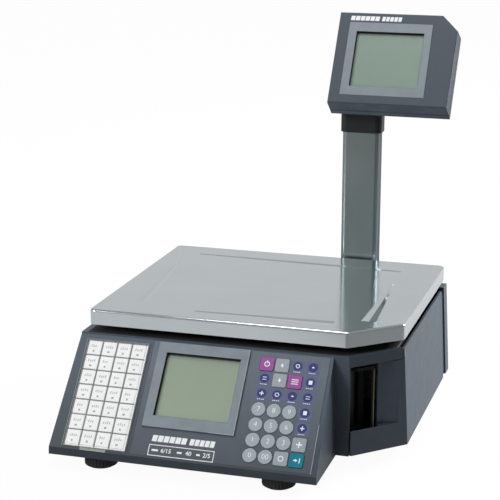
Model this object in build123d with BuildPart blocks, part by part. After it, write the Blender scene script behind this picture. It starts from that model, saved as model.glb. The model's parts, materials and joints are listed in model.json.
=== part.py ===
"""Retail price scale: weighing pan, sloped keyboard console, label printer and pole display.

Units are millimetres.  +X is the operator's right, +Y points away from the operator, +Z is up.
The origin is the centre of the bounding box's bottom face, on the surface the scale stands on.
"""
from build123d import *
from math import atan2, cos, radians, sin, sqrt, tan
import os

os.makedirs("parts", exist_ok=True)

# ---- driving dimensions -------------------------------------------------------------------
DEPTH = 485.8                 # console lip to the display head's rear top edge
FOOT_HEIGHT = 16.0            # floor to the underside of the case
BODY_HEIGHT = 123.5           # underside of the case to its rim
BODY_WIDTH = 401.2            # across the sides, at the underside
BODY_DRAFT = 6.6              # how far each side leans in, from the underside to the rim
WALL = 3.0                    # moulded case walls
FRONT_WALL_Y = -150.0         # front wall of the case, behind the console
SIDE_REAR_Y = 166.1           # where the sides end and the rear cover starts
CORNER_CUT = 56.0             # printer corner: 45 degree cut at the front right, at the underside
CORNER_CUT_TOP = 54.5
LIP_HEIGHT = 9.4              # vertical lip along the console's front
CONSOLE_TOP_Y = -149.6
CONSOLE_TOP_Z = 137.9
CONSOLE_RIGHT = 125.5         # console's right side at the underside
CONSOLE_RIGHT_TOP = 121.6

PAN_LEFT, PAN_RIGHT = -186.4, 193.6
PAN_FRONT, PAN_REAR = -146.4, 182.5
PAN_TOP = 167.5
PAN_SKIRT = 19.0
PAN_SHEET = 1.5
PAN_CUT_X, PAN_CUT_Y = 57.0, 51.5
PAN_CORNER, PAN_EDGE = 8.0, 3.0
# valleys pressed into the pan: wide end, narrow end, depth at the wide end
PAN_DENTS = [
    (((141.0, -97.0), (159.0, -97.0)), ((144.0, 68.0), (148.0, 68.0)), 1.05),
    (((-129.0, -95.0), (-143.0, -95.0)), ((-151.0, 86.0), (-156.0, 86.0)), 0.8),
    (((85.0, 128.5), (85.0, 141.5)), ((-141.0, 140.0), (-141.0, 145.0)), 0.85),
    (((85.0, 128.5), (85.0, 141.5)), ((143.0, 131.0), (143.0, 135.0)), 0.85),
    (((112.0, -124.0), (112.0, -107.0)), ((-61.0, -118.5), (-61.0, -115.0)), 0.7),
]
DENT_END = 0.4                # depth at the narrow ends

REAR_PROUD = 2.0              # the rear cover stands proud of the sides
REAR_DEPTH = 25.0
REAR_BOTTOM, REAR_TOP = 20.0, 141.0

POLE_X, POLE_Y = 71.5, 205.1  # centre of the display pole, and the head's swivel axis
POLE_WIDTH, POLE_DEPTH = 51.0, 25.0
POLE_BOTTOM, POLE_TOP = 32.0, 362.0
POLE_CORNER = 6.0
COLLAR_WALL = 2.8
COLLAR_BOTTOM = 340.3

HEAD_LEAN = 32.6              # the head's face leans back from upright
HEAD_LEFT = 33.6
HEAD_RIGHT_LOW = (193.0, 195.7)      # right edge at the chin: on the face, at the rim's rear
HEAD_RIGHT_HIGH = (195.4, 196.9)     # right edge under the cut corner
HEAD_FACE = 132.0             # height of the face along its slope
HEAD_BEZEL = 15.0             # depth of the front bezel
HEAD_RIM = 22.5               # depth of bezel and rear shell's rim
HEAD_REVEAL = 0.9             # sunk line between bezel and rear shell
HEAD_CUT_X, HEAD_CUT_V = 22.4, 22.4
HEAD_DRAFT = 2.7 / 22.5       # the left side leans in towards the back
CHIN_FLARE = 6.8 / 22.5       # chin drops towards the back
HEAD_BOTTOM_Y, HEAD_BOTTOM_Z = 152.8, 386.8
SHELL_WALL = 2.5

KEY_PITCH_X, KEY_PITCH_V = 18.45, 18.68
KEY_FIRST_X, KEY_FIRST_V = 43.86, 128.84
KEY_SIZE = 17.0
KEY_PROUD = 0.9
KEY_GAP = 0.3
KEY_DEPTH = 4.6               # cap below the panel's face
KEY_BOARD = 7.5               # switch board below the panel's face
KEY_ROWS, KEY_COLUMNS = 7, 4
ROUND_KEYS = [(row, column) for row in (3, 4, 5) for column in (0, 1, 2)] + [(6, 0), (6, 1)]
SQUARE_KEYS = [(0, 0), (0, 1), (1, 1), (1, 2), (5, 3), (6, 2), (6, 3)]
RAISED_KEYS = sorted(ROUND_KEYS + SQUARE_KEYS)
PANEL_THICK = 1.2

PRESET_COLUMNS, PRESET_ROWS = 4, 7
PRESET_PITCH_X, PRESET_PITCH_V = 18.7, 18.88
PRESET_LEFT, PRESET_TOP = -180.7, 136.6
PRESET_CELL_X, PRESET_CELL_V = 16.5, 17.0

DISPLAY_OUTER = (-91.5, 21.1, 37.2, 143.7)
DISPLAY_OPENING = (-80.4, 11.8, 51.3, 130.8)
HEAD_OUTER = (48.8, 161.6, 11.4, 117.5)
HEAD_OPENING = (59.9, 151.4, 24.3, 104.1)

DISPLAY_PROUD, HEAD_PROUD = 2.0, 0.4
FRAME_ROUND = 0.35
WINDOW_RECESS, WINDOW_THICK = 3.2, 1.5
MODULE_FRONT = -8.0

FOOT_RADIUS = 19.8
FOOT_BOSS = 11.0
FOOT_RIBS = 30
PAD_THICK = 1.5
FOOT_PLACES = {
    "foot_front_left": (-144.4, -216.9),
    "foot_front_right": (74.6, -216.9),
    "foot_rear_left": (-144.4, 135.0),
    "foot_rear_right": (148.0, 135.0),
}
STUD_RADIUS = 4.0
RUNNING = 0.06                # radial clearance of a turning fit

DOOR_TOP = 138.0
DOOR_PARTING = 125.8          # top of the door on the printer corner, under the fixed strip
EXIT_BOTTOM = 46.5            # label exit, from the door's lower band to the parting
EXIT_WIDTH = 40.2
GRIP_END = 65.0               # finger recess beside the exit, measured along the corner
GRIP_DEPTH = 9.0
DOOR_START_X = 140.8          # the door's front edge, on the front wall
STRIP_END_X, STRIP_END_Y = 186.5, -97.5
HINGE_RADIUS = 3.2
HINGE_Y = 162.6

# case floor and what stands on it
TRAY_INSET = 3.4
SCREW_POSTS = [(-180.0, -140.0), (-180.0, 150.0), (60.0, 155.0), (70.0, -137.0), (-186.0, -205.0)]
POST_RADIUS = 5.0
SCREW_RADIUS, SCREW_HEAD = 1.6, 3.2
CELL_LIMITS = (-75.0, 75.0, -2.0, 38.0)
CELL_BOTTOM, CELL_TOP = 50.0, 75.0
PEDESTAL_LENGTH = 38.0
SPIDER_POST = (55.0, 18.0)
SPIDER_LOW, SPIDER_HIGH = 152.0, 157.0
SPIDER_ARM_X = 125.0
PAD_PLACES = [(3.6 + x, 18.0 + y) for x in (-SPIDER_ARM_X, SPIDER_ARM_X) for y in (-105.0, 105.0)]
SPIDER_GAP = 0.7              # free play between the load cell and the spider's post
LEVEL_PLACE, LEVEL_RADIUS = (-160.0, -98.0), 6.0
SUPPLY_LIMITS, SUPPLY_TOP = (-128.0, -50.0, 62.0, 148.0), 62.0
BOARD_LIMITS = (-186.0, -85.0, -130.0, 48.0)
BOARD_LOW = 26.0
BOARD_THICK = 1.6

# console face, in console_plane coordinates
KEY_WINDOW = (27.0, 110.0, 5.0, 140.5)
PANEL_LIMITS = (-99.5, 118.5, 2.5, 145.0)
CARD_LIMITS = (-182.8, -105.8, 4.3, 138.0)
CARD_TAB = (-161.0, -129.0, 0.2, 4.4)
COVER_LIMITS = (-184.5, -104.0, 3.0, 139.3)

# rear face: (x, z) centres, widths and heights
INLET_PLACE = (-160.0, 48.0)
SWITCH_PLACE = (-122.0, 48.0)
SWITCH_TILT = 6.0
SOCKET_PLACES = [(-86.0, 48.0, 16.0, 13.0), (-58.0, 48.0, 13.0, 13.0), (-22.0, 48.0, 31.0, 12.5)]
VENT_COUNT, VENT_LEFT, VENT_PITCH = 12, -170.0, 9.0
VENT_LOW, VENT_HIGH = 75.0, 115.0
BRACKET_WALL, BRACKET_FLANGE, BRACKET_SIDE = 5.0, 4.0, 14.0
BRACKET_LOW, BRACKET_HIGH = 28.0, 112.0

# label printer, all on upright axes
FRAME_LOW, FRAME_HIGH = 30.0, 34.0
BRIDGE_LOW, BRIDGE_HIGH = 118.0, 122.0
ROLL_PLACE, ROLL_RADIUS, ROLL_CORE = (136.0, 45.0), 48.0, 19.0
ROLL_LOW, ROLL_HIGH = 36.3, 96.3
TAKEUP_PLACE, TAKEUP_SPINDLE = (150.0, 122.0), 5.0
PLATEN_PLACE, PLATEN_RADIUS, JOURNAL_RADIUS = (130.0, -112.0), 8.0, 3.0
HEAD_PIVOT, HEAD_PIVOT_RADIUS = (-11.0, 12.2), 2.0
PIN_RADIUS = 1.5
HINGE_LUGS = [(20.3, 25.3), (129.9, 134.9)]
FRAME_PLAN = [(104.0, -138.0), (147.0, -138.0), (184.0, -101.0), (184.0, 150.0), (84.0, 150.0),
              (84.0, -40.0), (104.0, -40.0)]
BRIDGE_PLAN = [(104.0, -138.0), (147.0, -138.0), (164.5, -120.5), (150.0, -106.0), (150.0, -80.0),
               (104.0, -80.0)]
FRAME_LEGS = [(92.0, -30.0), (92.0, 140.0), (176.0, 140.0), (176.0, -90.0), (112.0, -128.0)]
PEEL_START, PEEL_WIDTH = 33.4, 1.6   # peel bar's place along the printer corner

# rear housing of the display head
HUMP_LEFT, HUMP_RIGHT, HUMP_REAR = 38.5, 165.0, 241.0
HUMP_TOP = 466.0
SPIGOT_RADIUS, SPIGOT_TOP = 11.0, 390.0

# ---- derived dimensions -------------------------------------------------------------------
FRONT = -DEPTH / 2
REAR = DEPTH / 2
BASE = FOOT_HEIGHT
RIM = BASE + BODY_HEIGHT
HALF = BODY_WIDTH / 2
HALF_TOP = HALF - BODY_DRAFT
LIP_TOP = BASE + LIP_HEIGHT
DECK = RIM - WALL
REAR_FACE = SIDE_REAR_Y + REAR_DEPTH
PAN_UNDERSIDE = PAN_TOP - PAN_SHEET
CORNER_45 = sqrt(0.5)
LEAN = radians(HEAD_LEAN)
CHIN_Z = HEAD_BOTTOM_Z - HEAD_RIM * (CHIN_FLARE * cos(LEAN) + sin(LEAN))
COLLAR_TOP = CHIN_Z - 0.4
SLOPE = atan2(CONSOLE_TOP_Z - LIP_TOP, CONSOLE_TOP_Y - FRONT)
REAR_HOLES = [(*INLET_PLACE, 28.2, 20.2), (*SWITCH_PLACE, 17.0, 25.0)]
REAR_HOLES += [(x, z, width + 0.2, height + 0.2) for x, z, width, height in SOCKET_PLACES]
BRACKET_SCREWS = [
    (POLE_X + side * (POLE_WIDTH / 2 + BRACKET_WALL + BRACKET_SIDE / 2), z)
    for side in (-1, 1) for z in (BRACKET_LOW + 14.0, BRACKET_HIGH - 14.0)
]


def half_width(z):
    """Half the case's width at a height."""
    return HALF - BODY_DRAFT * (z - BASE) / BODY_HEIGHT


def console_right(z):
    """The console's right side at a height."""
    share = (z - BASE) / (CONSOLE_TOP_Z - BASE)
    return CONSOLE_RIGHT + (CONSOLE_RIGHT_TOP - CONSOLE_RIGHT) * share


def console_plane(height=0.0):
    """Plane of the console's sloped face: X along the width, Y up the slope from the lip."""
    normal = Vector(0, -sin(SLOPE), cos(SLOPE))
    return Plane(origin=Vector(0, FRONT, LIP_TOP) + normal * height, x_dir=(1, 0, 0), z_dir=normal)


def head_plane(height=0.0):
    """Plane of the display head's face: X along the width, Y up the face from its bottom edge."""
    normal = Vector(0, -cos(LEAN), sin(LEAN))
    corner = Vector(0, HEAD_BOTTOM_Y, HEAD_BOTTOM_Z)
    return Plane(origin=corner + normal * height, x_dir=(1, 0, 0), z_dir=normal)


def corner_plane(depth=0.0):
    """Upright plane of the printer corner: X along the corner from the front wall, Y up."""
    normal = Vector(CORNER_45, -CORNER_45, 0)
    start = Vector(HALF - CORNER_CUT, FRONT_WALL_Y, 0)
    return Plane(origin=start - normal * depth, x_dir=(CORNER_45, CORNER_45, 0), z_dir=normal)


# ---- small helpers ------------------------------------------------------------------------
def finish(name, piece):
    """Label a finished piece and write its file."""
    piece.part.label = name
    export_step(piece.part, f"parts/{name}.step")


def span(x0, x1, y0, y1):
    """A rectangle between limits, in the open sketch."""
    with Locations(((x0 + x1) / 2, (y0 + y1) / 2)):
        Rectangle(x1 - x0, y1 - y0)


def block(plane, limits, low, high, mode=Mode.ADD):
    """A straight block in the open part, between limits on a plane and heights above it."""
    with BuildSketch(plane.offset(low)) as profile:
        span(*limits)
    extrude(profile.sketch, amount=high - low, mode=mode)


def disc(place, radius, low, high, mode=Mode.ADD, plane=Plane.XY):
    """A round post or bore in the open part, between heights above a plane."""
    with BuildSketch(plane.offset(low)) as profile:
        with Locations(place):
            Circle(radius)
    extrude(profile.sketch, amount=high - low, mode=mode)


def prism(points, low, high, mode=Mode.ADD, plane=Plane.XY):
    """A straight prism in the open part on a polygon."""
    with BuildSketch(plane.offset(low)) as profile:
        with BuildLine():
            Polyline(*points, close=True)
        make_face()
    extrude(profile.sketch, amount=high - low, mode=mode)


def grow(limits, margin):
    """Rectangle limits moved outwards by a margin."""
    return (limits[0] - margin, limits[1] + margin, limits[2] - margin, limits[3] + margin)


# ---- case shells --------------------------------------------------------------------------
def body_outline(z, inset, rear=SIDE_REAR_Y):
    """Plan of the case behind the console at a height, moved inwards by an inset."""
    half = half_width(z)
    cut = CORNER_CUT + (CORNER_CUT_TOP - CORNER_CUT) * (z - BASE) / BODY_HEIGHT
    slack = inset * (sqrt(2) - 1)
    return [
        (-half + inset, rear),
        (-half + inset, FRONT_WALL_Y + inset),
        (half - cut - slack, FRONT_WALL_Y + inset),
        (half - inset, FRONT_WALL_Y + cut + slack),
        (half - inset, rear),
    ]


def body_block(inset, low, high, rear=SIDE_REAR_Y, mode=Mode.ADD):
    """The case's drafted block behind the console, in the open part."""
    sections = []
    for z in (low, high):
        with BuildSketch(Plane.XY.offset(z)) as section:
            with BuildLine():
                Polyline(*body_outline(z, inset, rear), close=True)
            make_face()
        sections.append(section.sketch.face())
    loft(sections, ruled=True, mode=mode)


def console_profile(inset, top):
    """Side profile of the console as (y, z) points, moved inwards by an inset."""
    front = FRONT + inset
    slope_front = FRONT + inset / sin(SLOPE)
    lip = LIP_TOP + (front - slope_front) * tan(SLOPE)
    back = FRONT_WALL_Y + 2 * WALL
    top_y = slope_front + (top - LIP_TOP) / tan(SLOPE)
    return [(front, BASE), (front, lip), (top_y, top), (back, top), (back, BASE)]


def console_wedge(inset, top):
    """The console's wedge between its leaning sides."""
    with BuildPart() as wedge:
        with BuildSketch(Plane.YZ.offset(-HALF)):
            with BuildLine():
                Polyline(*console_profile(inset, top), close=True)
            make_face()
        extrude(amount=HALF + CONSOLE_RIGHT)
        sections = []
        for z in (BASE, RIM):
            with BuildSketch(Plane.XY.offset(z)) as section:
                span(-half_width(z) + inset, console_right(z) - inset, FRONT - 1, 0)
            sections.append(section.sketch.face())
        loft(sections, ruled=True, mode=Mode.INTERSECT)
    return wedge.part


def post_top(place):
    """Top of a screw post: in the deck, or in the console's sloped wall."""
    if place[1] > FRONT_WALL_Y:
        return DECK + 1.0
    return LIP_TOP + (place[1] - POST_RADIUS - FRONT) * tan(SLOPE) - 0.5


def make_housing():
    """Upper case: console face, left side, deck under the pan and strip over the printer door."""
    outside = console_wedge(0, CONSOLE_TOP_Z)
    inside = console_wedge(WALL, DECK - WALL)
    with BuildPart() as housing:
        body_block(0, BASE, RIM)
        add(outside)
        body_block(WALL, BASE, DECK, rear=SIDE_REAR_Y + WALL, mode=Mode.SUBTRACT)
        add(inside, mode=Mode.SUBTRACT)
        # the printer door takes the place of the right side, and of the corner below its parting
        block(Plane.XY, (STRIP_END_X, HALF + 1, STRIP_END_Y, SIDE_REAR_Y + 1), BASE - 1, RIM + 1,
              mode=Mode.SUBTRACT)
        block(Plane.XY, (DOOR_START_X, HALF + 1, FRONT_WALL_Y - 1, SIDE_REAR_Y + 1), BASE - 1,
              DOOR_PARTING, mode=Mode.SUBTRACT)
        # seats in the console face for the key panel and the display frame
        block(console_plane(), PANEL_LIMITS, -PANEL_THICK, WALL, mode=Mode.SUBTRACT)
        block(console_plane(), KEY_WINDOW, -2 * WALL, WALL, mode=Mode.SUBTRACT)
        block(console_plane(), grow(DISPLAY_OUTER, 0.2), -2 * WALL, WALL, mode=Mode.SUBTRACT)
        # deck openings for the weighing post and the bubble level
        disc(SPIDER_POST, 15.0, DECK - 1, RIM + 1, mode=Mode.SUBTRACT)
        disc(LEVEL_PLACE, LEVEL_RADIUS, DECK - 1, RIM + 1, mode=Mode.SUBTRACT)
        for place in SCREW_POSTS:
            disc(place, POST_RADIUS, BASE + WALL, post_top(place))
        for place in SCREW_POSTS:
            disc(place, SCREW_RADIUS, BASE + WALL, BASE + 5 * WALL, mode=Mode.SUBTRACT)
    finish("housing", housing)


def hinge_x(z):
    """The door's hinge line follows the leaning side, just inside its face."""
    return half_width(z) - HINGE_RADIUS


def hinge_bar(radius, low, high, mode=Mode.ADD):
    """A round bar along the door's hinge line between two heights, in the open part."""
    start = Vector(hinge_x(low), HINGE_Y, low)
    end = Vector(hinge_x(high), HINGE_Y, high)
    with BuildSketch(Plane(origin=start, z_dir=end - start)) as section:
        Circle(radius)
    extrude(section.sketch, amount=(end - start).length, mode=mode)


def make_rear_cover():
    """Rear cover with socket cut-outs, vent slots and the lugs of the printer door's hinge."""
    front = SIDE_REAR_Y + 0.2
    rear_plane = Plane.XZ.offset(-REAR_FACE)
    with BuildPart() as rear_cover:
        for inset, low, high, start, end, mode in (
            (-REAR_PROUD, REAR_BOTTOM, REAR_TOP, front, REAR_FACE, Mode.ADD),
            (WALL - REAR_PROUD, REAR_BOTTOM + WALL, REAR_TOP - WALL, front - 1, REAR_FACE - WALL,
             Mode.SUBTRACT),
        ):
            sections = []
            for z in (low, high):
                with BuildSketch(Plane.XY.offset(z)) as section:
                    span(-half_width(z) + inset, half_width(z) - inset, start, end)
                sections.append(section.sketch.face())
            loft(sections, ruled=True, mode=mode)
            if mode == Mode.ADD:
                fillet(rear_cover.faces().sort_by(Axis.Y)[-1].edges(), radius=3.0)
        for x, z, width, height in REAR_HOLES:
            block(rear_plane, (x - width / 2, x + width / 2, z - height / 2, z + height / 2),
                  -WALL, 2 * WALL, mode=Mode.SUBTRACT)
        for column in range(VENT_COUNT):
            x = VENT_LEFT + VENT_PITCH * column
            block(rear_plane, (x, x + 3.5, VENT_LOW, VENT_HIGH), -WALL, 2 * WALL, mode=Mode.SUBTRACT)
        for low, high in HINGE_LUGS:
            x = hinge_x((low + high) / 2)
            hinge_bar(HINGE_RADIUS - 0.2, low, high)
            block(Plane.XY, (x - 3.0, x + 2.8, HINGE_Y, front + 1), low, high)
        hinge_bar(PIN_RADIUS + RUNNING, HINGE_LUGS[0][0] - 1, HINGE_LUGS[1][1] + 1,
                  mode=Mode.SUBTRACT)
        for x, z in BRACKET_SCREWS:
            disc((x, z), SCREW_RADIUS, -1, 2 * WALL, mode=Mode.SUBTRACT, plane=rear_plane)
    finish("rear_cover", rear_cover)


def tray_plan(inset):
    """Plan of the case's floor, in the open sketch: body and console."""
    Polygon(*body_outline(BASE, inset), align=None)
    span(-HALF + inset, CONSOLE_RIGHT - inset, FRONT + inset, FRONT_WALL_Y + 3 * WALL)


def make_base_tray():
    """Floor of the case with its rim, foot bosses, board posts and load cell pedestal."""
    left, right, front, rear = BOARD_LIMITS
    floor_top = BASE + WALL
    with BuildPart() as tray:
        with BuildSketch(Plane.XY.offset(BASE)) as floor:
            tray_plan(TRAY_INSET)
        extrude(floor.sketch, amount=WALL)
        with BuildSketch(Plane.XY.offset(floor_top)) as rim_outside:
            tray_plan(TRAY_INSET + 2.0)
        with BuildSketch(Plane.XY.offset(floor_top)) as rim_inside:
            tray_plan(TRAY_INSET + 4.0)
        extrude(rim_outside.sketch, amount=6.0)
        extrude(rim_inside.sketch, amount=6.0, mode=Mode.SUBTRACT)
        for place in FOOT_PLACES.values():
            disc(place, 10.0, BASE, BASE + FOOT_BOSS)
        block(Plane.XY, (CELL_LIMITS[0], CELL_LIMITS[0] + PEDESTAL_LENGTH, CELL_LIMITS[2],
                         CELL_LIMITS[3]), floor_top, CELL_BOTTOM)
        for x in (left + 6.0, right - 6.0):
            for y in (front + 6.0, rear - 6.0):
                disc((x, y), 3.0, floor_top, BOARD_LOW)
        for place in FOOT_PLACES.values():
            disc(place, STUD_RADIUS + RUNNING, BASE - 1, BASE + FOOT_BOSS + 1, mode=Mode.SUBTRACT)
        # room for the printer door's lower hinge
        block(Plane.XY, (HALF - 12.0, HALF, HINGE_Y - 4.0, SIDE_REAR_Y + 1), floor_top,
              floor_top + 8.0, mode=Mode.SUBTRACT)
        for place in SCREW_POSTS:
            disc(place, POST_RADIUS + 0.5, floor_top, floor_top + 8.0, mode=Mode.SUBTRACT)
            disc(place, SCREW_RADIUS, BASE - 1, floor_top, mode=Mode.SUBTRACT)
            disc(place, SCREW_HEAD, BASE - 1, BASE + 1.6, mode=Mode.SUBTRACT)
    finish("base_tray", tray)


def make_case_screws():
    """Screws up through the tray into the housing's posts, and those of the pole bracket."""
    rear_plane = Plane.XZ.offset(-REAR_FACE)
    with BuildPart() as screws:
        for place in SCREW_POSTS:
            disc(place, SCREW_HEAD, BASE + 0.1, BASE + 1.6)
            disc(place, SCREW_RADIUS, BASE + 1.6, BASE + 4 * WALL)
        for x, z in BRACKET_SCREWS:
            disc((x, z), SCREW_HEAD, -BRACKET_FLANGE - 2.0, -BRACKET_FLANGE, plane=rear_plane)
            disc((x, z), SCREW_RADIUS, -BRACKET_FLANGE, 2 * WALL, plane=rear_plane)
    finish("case_screws", screws)


# ---- feet ---------------------------------------------------------------------------------
def make_foot(name, place):
    """Levelling foot: ribbed knob on a stud, with a soft pad underneath."""
    with BuildPart() as foot:
        disc(place, FOOT_RADIUS, PAD_THICK, FOOT_HEIGHT - 0.7)
        fillet(foot.edges().filter_by(GeomType.CIRCLE), radius=1.5)
        with Locations((*place, FOOT_HEIGHT / 2)):
            with PolarLocations(FOOT_RADIUS + 0.4, FOOT_RIBS):
                Cylinder(1.1, FOOT_HEIGHT, mode=Mode.SUBTRACT)
        disc(place, FOOT_RADIUS - 3.5, 0, PAD_THICK)
        disc(place, STUD_RADIUS, FOOT_HEIGHT - 1, BASE + FOOT_BOSS + 2.2)
    finish(name, foot)


# ---- weighing -----------------------------------------------------------------------------
def make_load_cell():
    """Beam load cell: one end on the pedestal, with the usual pair of joined holes."""
    middle_y = (CELL_LIMITS[2] + CELL_LIMITS[3]) / 2
    middle_z = (CELL_BOTTOM + CELL_TOP) / 2
    with BuildPart() as load_cell:
        block(Plane.XY, CELL_LIMITS, CELL_BOTTOM, CELL_TOP)
        with Locations((0, middle_y, middle_z)):
            with Locations((-15, 0, 0), (15, 0, 0)):
                Cylinder(8.5, 60, rotation=(90, 0, 0), mode=Mode.SUBTRACT)
            Box(30, 60, 3, mode=Mode.SUBTRACT)
        chamfer(load_cell.edges().filter_by(Axis.X), length=0.8)
    finish("load_cell", load_cell)


def make_pan_support():
    """Spider under the pan: a post from the load cell's free end and an H of flat arms."""
    x_mid = (PAD_PLACES[0][0] + PAD_PLACES[-1][0]) / 2
    y_mid = (PAD_PLACES[0][1] + PAD_PLACES[-1][1]) / 2
    reach = PAD_PLACES[1][1] - y_mid + 14.0
    with BuildPart() as spider:
        with BuildSketch(Plane.XY.offset(SPIDER_LOW)) as arms:
            span(x_mid - SPIDER_ARM_X, x_mid + SPIDER_ARM_X, y_mid - 32, y_mid + 32)
            for side in (-1, 1):
                x = x_mid + side * SPIDER_ARM_X
                span(x - 14, x + 14, y_mid - reach, y_mid + reach)
            fillet(arms.vertices(), radius=5.0)
            with Locations((x_mid - 55, y_mid), (x_mid, y_mid)):
                RectangleRounded(40, 36, 6, mode=Mode.SUBTRACT)
        extrude(arms.sketch, amount=SPIDER_HIGH - SPIDER_LOW)
        disc(SPIDER_POST, 9.0, CELL_TOP + SPIDER_GAP, SPIDER_LOW)
        disc(SPIDER_POST, 13.0, CELL_TOP + SPIDER_GAP, CELL_TOP + 6.0)
    finish("pan_support", spider)


def make_support_pads():
    """Four soft pads on the spider that the pan rests on."""
    with BuildPart() as pads:
        for place in PAD_PLACES:
            disc(place, 10.0, SPIDER_HIGH, PAN_UNDERSIDE)
    finish("support_pads", pads)


def pan_outline(inset):
    """Plan of the pan in the open sketch, moved inwards by an inset."""
    left, right = PAN_LEFT + inset, PAN_RIGHT - inset
    front, rear = PAN_FRONT + inset, PAN_REAR - inset
    slack = inset * (sqrt(2) - 1) - inset
    Polygon(
        (left, front), (right - PAN_CUT_X - slack, front), (right, front + PAN_CUT_Y + slack),
        (right, rear), (left, rear), align=None,
    )


def dent(start, end, deep):
    """A shallow valley pressed into the pan's top, wide at one end and running out at the other."""
    above = PAN_TOP + 0.5
    sections = []
    for (x0, y0), (x1, y1), depth in ((*start, deep), (*end, DENT_END)):
        across = Vector(x1 - x0, y1 - y0, 0)
        section_plane = Plane(origin=(x0, y0, above), x_dir=across, z_dir=across.cross(Vector(0, 0, 1)))
        rise = 0.5 if section_plane.y_dir.Z > 0 else -0.5
        width = across.length
        with BuildSketch(section_plane) as section:
            with BuildLine():
                Polyline((0, 0), (0, -rise), (width / 2, -rise * (1 + 2 * depth)), (width, -rise),
                         (width, 0), close=True)
            make_face()
        sections.append(section.sketch.face())
    loft(sections, ruled=True, mode=Mode.SUBTRACT)


def make_pan():
    """Stainless pan: folded skirt, cut front right corner and shallow creases inside its edges."""
    low = PAN_TOP - PAN_SKIRT
    with BuildPart() as pan:
        with BuildSketch(Plane.XY.offset(low)) as outside:
            pan_outline(0)
            fillet(outside.vertices(), radius=PAN_CORNER)
        extrude(outside.sketch, amount=PAN_SKIRT)
        fillet(pan.faces().sort_by(Axis.Z)[-1].edges(), radius=PAN_EDGE)
        with BuildSketch(Plane.XY.offset(low)) as inside:
            pan_outline(PAN_SHEET)
            fillet(inside.vertices(), radius=PAN_CORNER - PAN_SHEET)
        extrude(inside.sketch, amount=PAN_SKIRT - PAN_SHEET - PAN_EDGE / 2, mode=Mode.SUBTRACT)
        with BuildSketch(Plane.XY.offset(low)) as ceiling:
            pan_outline(PAN_SHEET + PAN_EDGE / 2)
            fillet(ceiling.vertices(), radius=PAN_CORNER - PAN_SHEET - PAN_EDGE / 2)
        extrude(ceiling.sketch, amount=PAN_SKIRT - PAN_SHEET, mode=Mode.SUBTRACT)
        for start, end, deep in PAN_DENTS:
            dent(start, end, deep)
    finish("pan", pan)


# ---- console: display, key panel, keys and preset card ------------------------------------
def make_window_frame(name, plane, outer, opening, proud):
    """Display frame: a rounded face around the window, held by a flange behind the wall."""
    left, right, low, high = outer
    with BuildPart() as frame:
        block(plane, outer, -WALL - 0.05, proud)
        fillet(frame.faces().sort_by(Axis((0, 0, 0), plane.z_dir))[-1].edges(), radius=FRAME_ROUND)
        block(plane, (left - 3, right + 3, low - 3, high - 1), -WALL - 2.0, -WALL - 0.05)
        block(plane, opening, -2 * WALL, proud + 1, mode=Mode.SUBTRACT)
        block(plane, grow(opening, 2.5), -2 * WALL, proud - WINDOW_RECESS, mode=Mode.SUBTRACT)
    finish(name, frame)


def make_window(name, plane, opening, proud):
    """Clear window in the frame's rear rebate."""
    with BuildPart() as window:
        block(plane, grow(opening, 2.4), proud - WINDOW_RECESS - WINDOW_THICK, proud - WINDOW_RECESS)
    finish(name, window)


def make_display_module(name, plane, outer, opening, proud):
    """Display module behind the window: the cell, its board and a few parts on the board."""
    front = proud - WINDOW_RECESS - WINDOW_THICK - 0.1
    left, right, low, high = outer
    with BuildPart() as module:
        block(plane, grow(opening, 2.2), MODULE_FRONT, front)
        block(plane, grow(outer, 1.0), MODULE_FRONT - BOARD_THICK, MODULE_FRONT)
        for share in (0.25, 0.5, 0.75):
            x = left + (right - left) * share
            block(plane, (x - 6, x + 6, low + 8, low + 20), MODULE_FRONT - BOARD_THICK - 1.5,
                  MODULE_FRONT - BOARD_THICK)
        block(plane, (left + 20, right - 20, high - 12, high - 4), MODULE_FRONT - BOARD_THICK - 3.0,
              MODULE_FRONT - BOARD_THICK)
    finish(name, module)


def key_place(row, column):
    """Centre of a key on the console face."""
    return (KEY_FIRST_X + KEY_PITCH_X * column, KEY_FIRST_V - KEY_PITCH_V * row)


def key_shape(row, column, margin):
    """A key's outline grown by a margin, in the open sketch."""
    with Locations(key_place(row, column)):
        if (row, column) in ROUND_KEYS:
            Circle(KEY_SIZE / 2 + margin)
        else:
            RectangleRounded(KEY_SIZE + 2 * margin, KEY_SIZE + 2 * margin, 2.2 + margin)


def make_key_panel():
    """Printed key panel let into the console face, open for the keys and the display frame."""
    with BuildPart() as panel:
        block(console_plane(), grow(PANEL_LIMITS, -0.15), -PANEL_THICK, 0)
        block(console_plane(), grow(DISPLAY_OUTER, 0.2), -2 * WALL, WALL, mode=Mode.SUBTRACT)
        for row, column in RAISED_KEYS:
            with BuildSketch(console_plane(-WALL)) as hole:
                key_shape(row, column, KEY_GAP)
            extrude(hole.sketch, amount=2 * WALL, mode=Mode.SUBTRACT)
    finish("key_panel", panel)


def make_key(row, column):
    """Raised key: a rounded cap, the flange that holds it under the panel, and its plunger."""
    plane = console_plane()
    with BuildPart() as key:
        with BuildSketch(plane.offset(-KEY_DEPTH)) as cap:
            key_shape(row, column, 0)
        extrude(cap.sketch, amount=KEY_DEPTH + KEY_PROUD)
        fillet(key.faces().sort_by(Axis((0, 0, 0), plane.z_dir))[-1].edges(), radius=0.7)
        with BuildSketch(plane.offset(-KEY_DEPTH)) as flange:
            key_shape(row, column, 0.45)
        extrude(flange.sketch, amount=1.0)
        disc(key_place(row, column), 2.5, -KEY_DEPTH - 2.0, -KEY_DEPTH, plane=plane)
    finish(f"key_{row + 1}_{column + 1}", key)


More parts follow.
